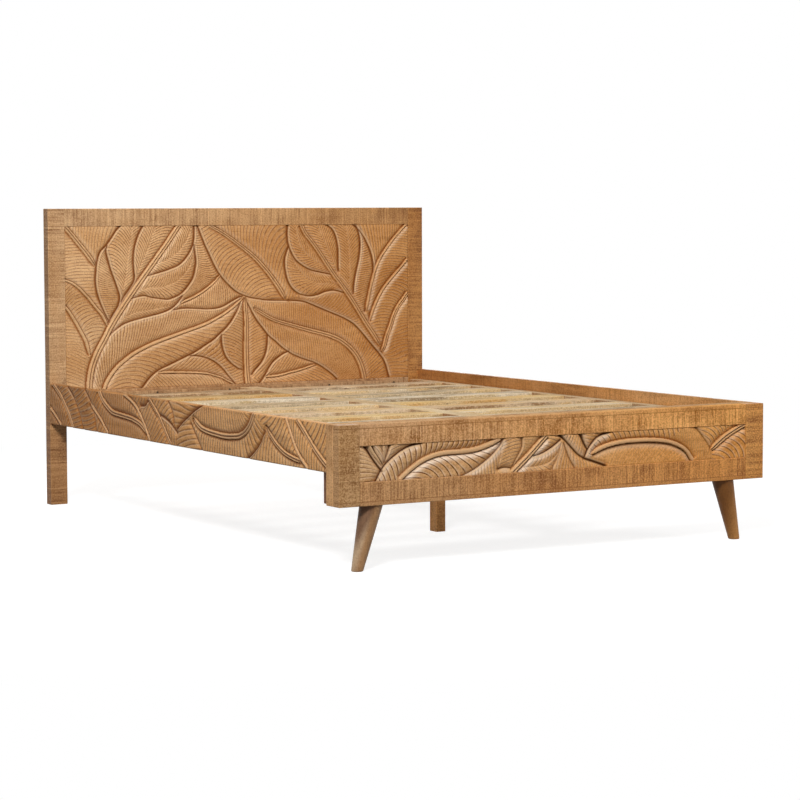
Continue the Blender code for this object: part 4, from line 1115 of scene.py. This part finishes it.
def dress_headboard():
    """Posts, top rail and the plain rails that are hardly seen."""
    dress_board("head_post_left", ALONG_Z, 1.0, saw=0.9, drifts=[POST_SHADE_TO_FLOOR], flank=POST_FLANK, speckle=0.4)
    # The right post is painted darker and warmer, as painted shade on the headboard's right side
    dress_board("head_post_right", ALONG_Z, 1.6, saw=0.95, drifts=[POST_SHADE_TO_FLOOR], flank=POST_FLANK,
                tint=(0.76, 0.57, 0.32), speckle=0.45)
    dress_board("head_top_rail", ALONG_X, 2.0, saw=0.8, drifts=[HEAD_RAIL_SHADE_TO_RIGHT], speckle=0.4)
    hidden = honey("hidden_rail_wood", ALONG_X, 2.4, tint=(0.78, 0.75, 0.73))
    dress(hidden, "head_bottom_rail", "head_cleat", "foot_cleat")
    dress(honey("ledger_wood", ALONG_Y, 5.0), *both_sides("slat_ledger"))


def dress_footboard():
    """Stiles, rails and the board behind them."""
    # The left stile and the bottom rail are painted darker, as painted shade on the footboard's left and low
    # parts
    dress_board("foot_stile_left", ALONG_Z, 3.0, saw=0.65, sanded=FOOT_STRIPS, flank=STILE_FLANK,
                tint=(0.84, 0.82, 0.76), speckle=0.6, gloss=0.08)
    dress_board("foot_stile_right", ALONG_Z, 3.6, saw=0.8, sanded=FOOT_STRIPS, drifts=[FOOT_LIGHT_TO_RIGHT],
                tint=(0.88, 0.84, 0.76), speckle=0.65)
    dress_board("foot_top_rail", ALONG_X, 4.0, saw=0.95, sanded=FOOT_STRIPS, drifts=[FOOT_TOP_LIGHT_TO_RIGHT],
                tint=(1.12, 1.11, 1.13), flank=FOOT_TOP_FLANK, speckle=0.4, gloss=0.0)
    dress_board("foot_bottom_rail", ALONG_X, 9.3, saw=1.0, sanded=FOOT_STRIPS, drifts=[FOOT_LIGHT_TO_RIGHT],
                tint=(0.89, 0.81, 0.70), speckle=0.5)
    dress_board("foot_back_board", ALONG_X, 5.2, tint=(1.10, 1.05, 1.00), flank=FOOT_TOP_FLANK, speckle=0.4,
                gloss=0.0)


def dress_legs():
    """Front legs, centre leg and the corner blocks behind the footboard."""
    # Front legs: painted shade on their inner sides, and a painted shadow of the footboard at the left leg's
    # outer top
    dress(wood("leg_left_wood", ALONG_Z, *LEFT_LEG_COLOURS, saw=0.1, rough=0.45, seed=7.0, gloss=0.2,
               speckle=0.15, drifts=[LEG_LEFT_INNER_SHADE, LEG_LEFT_PAINTED_SHADOW]), "front_leg_left")
    dress(wood("leg_right_wood", ALONG_Z, *RIGHT_LEG_COLOURS, saw=0.1, rough=0.45, seed=7.2, gloss=0.2,
               speckle=0.15, drifts=[LEG_RIGHT_INNER_SHADE]), "front_leg_right")
    dress(wood("centre_leg_wood", ALONG_Z, CENTRE_LEG_PALE, CENTRE_LEG_DEEP, LEG_DARK, saw=0.2, rough=0.5,
               seed=7.4, flank=(ALONG_Y, CENTRE_LEG_FLANK), gloss=0.2), "centre_leg")
    block = wood("corner_block_wood", ALONG_Z, *BLOCK_COLOURS, saw=0.4, rough=0.6, seed=7.7)
    dress(block, *both_sides("foot_corner_block"))


# Five finishes of raw slat timber: pale, deep, dark and the flank, the colour painted on the slats' front and
# back edges for their light and shade, dealt out to the slats in two rhythms
SLAT_FINISHES = (
    (srgb(236, 218, 188), srgb(216, 190, 152), srgb(126, 100, 70), srgb(224, 186, 132)),
    (srgb(234, 210, 166), srgb(212, 176, 124), srgb(132, 102, 64), srgb(206, 154, 88)),
    (srgb(228, 208, 176), srgb(206, 178, 140), srgb(118, 102, 80), srgb(192, 166, 128)),
    (srgb(230, 206, 172), srgb(208, 174, 134), srgb(126, 98, 70), srgb(154, 114, 74)),
    (srgb(238, 224, 200), srgb(222, 200, 164), srgb(136, 112, 82), srgb(212, 178, 124)),
)
SLATS_PER_SIDE = 9
SLAT_SEED = 10.0


def dress_slats():
    """Slats in raw timber, and the battens and beam that they lie on."""
    raw = []
    for number, (*colours, flank) in enumerate(SLAT_FINISHES, 1):
        raw.append(wood("slat_wood_%d" % number, ALONG_X, *colours, saw=0.15, rough=0.65,
                        seed=SLAT_SEED + number, flank=(ALONG_Y, flank), speckle=0.35, gloss=0.0,
                        mottle=0.95))
    for number in range(1, SLATS_PER_SIDE + 1):
        dress(raw[number * 2 % len(raw)], "slat_left_%d" % number)
        dress(raw[(number * 3 + 1) % len(raw)], "slat_right_%d" % number)
    batten = wood("batten_wood", ALONG_Y, *BATTEN_COLOURS, saw=0.3, rough=0.65, seed=20.0,
                  flank=BATTEN_FLANK, gloss=0.0, mottle=0.3)
    dress(batten, "centre_beam", *both_sides("slat_batten_inner", "slat_batten_outer"))


def dress_hardware():
    """Brackets, hangers, studs and bolts."""
    zinc = steel("zinc_steel", srgb(190, 190, 186))
    bolts = both_sides("head_bolt_lower", "head_bolt_upper", "foot_bolt_lower", "foot_bolt_upper")
    dress(zinc, "head_beam_hanger", "foot_beam_hanger", *both_sides("head_bracket", "leg_stud"), *bolts)


def carved_panels():
    """The carved panels of the headboard and the footboard."""
    panels = (("head_panel", HEAD_FACE, HEAD_LOOK, HEAD_SHADE_TO_RIGHT, 8.0, 3),
              ("foot_panel", FOOT_FACE, FOOT_LOOK, FOOT_PANEL_LIGHT_TO_RIGHT, 6.0, 1))
    for node, face, look, drift, seed, boards in panels:
        timber = wood(node + "_wood", ALONG_X, *PANEL_COLOURS, saw=0.10, rough=HONEY_ROUGH, seed=seed,
                      carved=look, drifts=[drift], gloss=0.03)
        low, high = (np.array(corner) * MM for corner in face["span"])
        front, back = (corner[1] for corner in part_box(node))
        carved_boards(node, low, high, ALONG_Y, front, -1, back - front, timber, face, boards)


def carved_rails():
    """The side rails, carved on the outside."""
    timber = wood("carved_rail_wood", ALONG_Y, *RAIL_COLOURS, saw=0.10, rough=HONEY_ROUGH, seed=5.0,
                  carved=RAIL_LOOK, drifts=[RAIL_DRIFT], gloss=0.06, mottle=0.3)
    for node, outward in (("side_rail_left", -1), ("side_rail_right", 1)):
        low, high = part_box(node)
        front = low[0] if outward < 0 else high[0]
        carved_boards(node, low[1:], high[1:], ALONG_X, front, outward, high[0] - low[0], timber, RAIL_FACE)


# Screw heads in the head cleat, in metres
SCREW_PLACES = (-0.382, -0.079, 0.354, 0.645)
SCREW_HEIGHT = 0.400
SCREW_RADIUS = 0.0048
SCREW_TIP_RADIUS = 0.8 * SCREW_RADIUS
SCREW_INSET = 0.45 * SCREW_RADIUS
SCREW_PROUD = 0.0012
SCREW_RECESS = 0.0008
SCREW_SIDES = 20


def cleat_screws():
    """Dark screw heads, half sunk in the cleat's front, each with a recess in its face."""
    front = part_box("head_cleat")[0][1]
    facing = Matrix.Rotation(math.radians(90), 4, "X")
    bm = bmesh.new()
    for across in SCREW_PLACES:
        place = Matrix.Translation((across, front, SCREW_HEIGHT)) @ facing
        bmesh.ops.create_cone(bm, cap_ends=True, segments=SCREW_SIDES, radius1=SCREW_RADIUS,
                              radius2=SCREW_TIP_RADIUS, depth=2 * SCREW_PROUD, matrix=place)
    bm.normal_update()
    caps = [face for face in bm.faces if face.normal.y < -0.99]
    bmesh.ops.inset_individual(bm, faces=caps, thickness=SCREW_INSET)
    sunk = {corner for face in caps for corner in face.verts}
    bmesh.ops.translate(bm, vec=(0, SCREW_RECESS, 0), verts=list(sunk))
    mesh = bpy.data.meshes.new("cleat_screws")
    bm.to_mesh(mesh)
    bm.free()
    mesh.materials.append(steel("dark_screw_steel", srgb(84, 66, 52)))
    piece = bpy.data.objects.new("cleat_screws", mesh)
    bpy.context.collection.objects.link(piece)
    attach(piece, "root")


# Floor, backdrop and light
WHITE = (1, 1, 1, 1)
FLOOR_HALF = 40
FLOOR_BOUNCE = (0.16, 0.155, 0.15, 1)
FLOOR_SHADE = (0.4, 0.4, 0.4, 1)
FLOOR_GLOW = 0.8
SHADOW_FADE = (1.6, 3.2)
WORLD_TINT = (1.0, 0.985, 0.96, 1)
WORLD_LEVEL = 0.32
OPEN_SPREAD = 180.0
STUDIO_LIGHTS = (
    ("key_light", (-4.6, -5.5, 5.3), (-0.3, 1.05, 0.95), 1.8, 84, 60.0),
    ("front_fill", (4.5, -6.5, 3.2), (0.4, -0.8, 0.3), 3.0, 120, OPEN_SPREAD),
    ("back_fill", (3.5, 7.0, 3.5), (0, 0.5, 0.5), 4.0, 260, OPEN_SPREAD),
)


def seen_directly(tree):
    """One for what the camera sees, also in gloss and glass, and nothing for the light on the bed."""
    rays = tree.nodes.new("ShaderNodeLightPath").outputs
    seen = maths(tree, "MAXIMUM", rays["Is Camera Ray"], rays["Is Glossy Ray"])
    return maths(tree, "MAXIMUM", seen, rays["Is Transmission Ray"])


def mix_shaders(tree, factor, first, second):
    """One shader blended into another."""
    made = tree.nodes.new("ShaderNodeMixShader")
    for socket, value in zip(made.inputs, (factor, first.outputs[0], second.outputs[0])):
        tree.links.new(value, socket)
    return made


def floor_material():
    """White for the camera, with a soft shadow near the bed, and dull for the light it sends back."""
    material = bpy.data.materials.new("studio_floor_white")
    material.use_nodes = True
    tree = material.node_tree
    tree.nodes.clear()
    bounce = add(tree, "ShaderNodeBsdfDiffuse", {"Color": FLOOR_BOUNCE})
    white = add(tree, "ShaderNodeEmission", {"Color": WHITE, "Strength": 1.0})
    glow = add(tree, "ShaderNodeEmission", {"Color": WHITE, "Strength": FLOOR_GLOW})
    shade = add(tree, "ShaderNodeBsdfDiffuse", {"Color": FLOOR_SHADE})
    lit = tree.nodes.new("ShaderNodeAddShader")
    tree.links.new(glow.outputs[0], lit.inputs[0])
    tree.links.new(shade.outputs[0], lit.inputs[1])
    away = add(tree, "ShaderNodeVectorMath", operation="LENGTH")
    tree.links.new(tree.nodes.new("ShaderNodeTexCoord").outputs["Object"], away.inputs[0])
    soft = mix_shaders(tree, reach(tree, away.outputs["Value"], *SHADOW_FADE), lit, white)
    choice = mix_shaders(tree, seen_directly(tree), bounce, soft)
    output = tree.nodes.new("ShaderNodeOutputMaterial")
    tree.links.new(choice.outputs[0], output.inputs[0])
    return material


def studio_floor():
    """A wide pale floor."""
    bm = bmesh.new()
    bmesh.ops.create_grid(bm, x_segments=8, y_segments=8, size=FLOOR_HALF)
    mesh = bpy.data.meshes.new("studio_floor")
    bm.to_mesh(mesh)
    bm.free()
    mesh.materials.append(floor_material())
    floor = bpy.data.objects.new("studio_floor", mesh)
    bpy.context.collection.objects.link(floor)


def studio_world():
    """A white backdrop for the camera, and dim even light on the bed."""
    world = bpy.data.worlds.new("studio_world")
    bpy.context.scene.world = world
    world.use_nodes = True
    tree = world.node_tree
    tree.nodes.clear()
    dim = add(tree, "ShaderNodeBackground", {"Color": WORLD_TINT, "Strength": WORLD_LEVEL})
    white = add(tree, "ShaderNodeBackground", {"Color": WHITE, "Strength": 1.0})
    choice = mix_shaders(tree, seen_directly(tree), dim, white)
    output = tree.nodes.new("ShaderNodeOutputWorld")
    tree.links.new(choice.outputs[0], output.inputs[0])


def soft_light(name, place, target, size, power, spread):
    """A square area light, aimed at a target."""
    light = bpy.data.lights.new(name, "AREA")
    light.spread = math.radians(spread)
    light.shape = "SQUARE"
    light.size = size
    light.energy = power
    lamp = bpy.data.objects.new(name, light)
    aim = (Vector(target) - Vector(place)).to_track_quat("-Z", "Y")
    lamp.matrix_world = Matrix.Translation(place) @ aim.to_matrix().to_4x4()
    bpy.context.collection.objects.link(lamp)


def photograph_camera():
    """The camera at the photograph's viewing angle."""
    data = bpy.data.cameras.new("photograph_camera")
    data.lens = CAMERA_LENS
    data.sensor_width = CAMERA_SENSOR
    data.clip_end = CAMERA_FAR
    camera = bpy.data.objects.new("photograph_camera", data)
    turn = Matrix.Rotation(math.radians(-CAMERA_YAW), 4, "Z")
    tilt = Matrix.Rotation(math.radians(90 - CAMERA_PITCH), 4, "X")
    roll = Matrix.Rotation(math.radians(CAMERA_ROLL), 4, "Z")
    camera.matrix_world = Matrix.Translation(CAMERA_PLACE) @ turn @ tilt @ roll
    bpy.context.collection.objects.link(camera)
    bpy.context.scene.camera = camera


dress_headboard()
dress_footboard()
dress_legs()
dress_slats()
dress_hardware()
carved_panels()
carved_rails()
cleat_screws()
studio_floor()
studio_world()
for lamp_values in STUDIO_LIGHTS:
    soft_light(*lamp_values)
photograph_camera()
bpy.context.scene.view_settings.view_transform = "Standard"
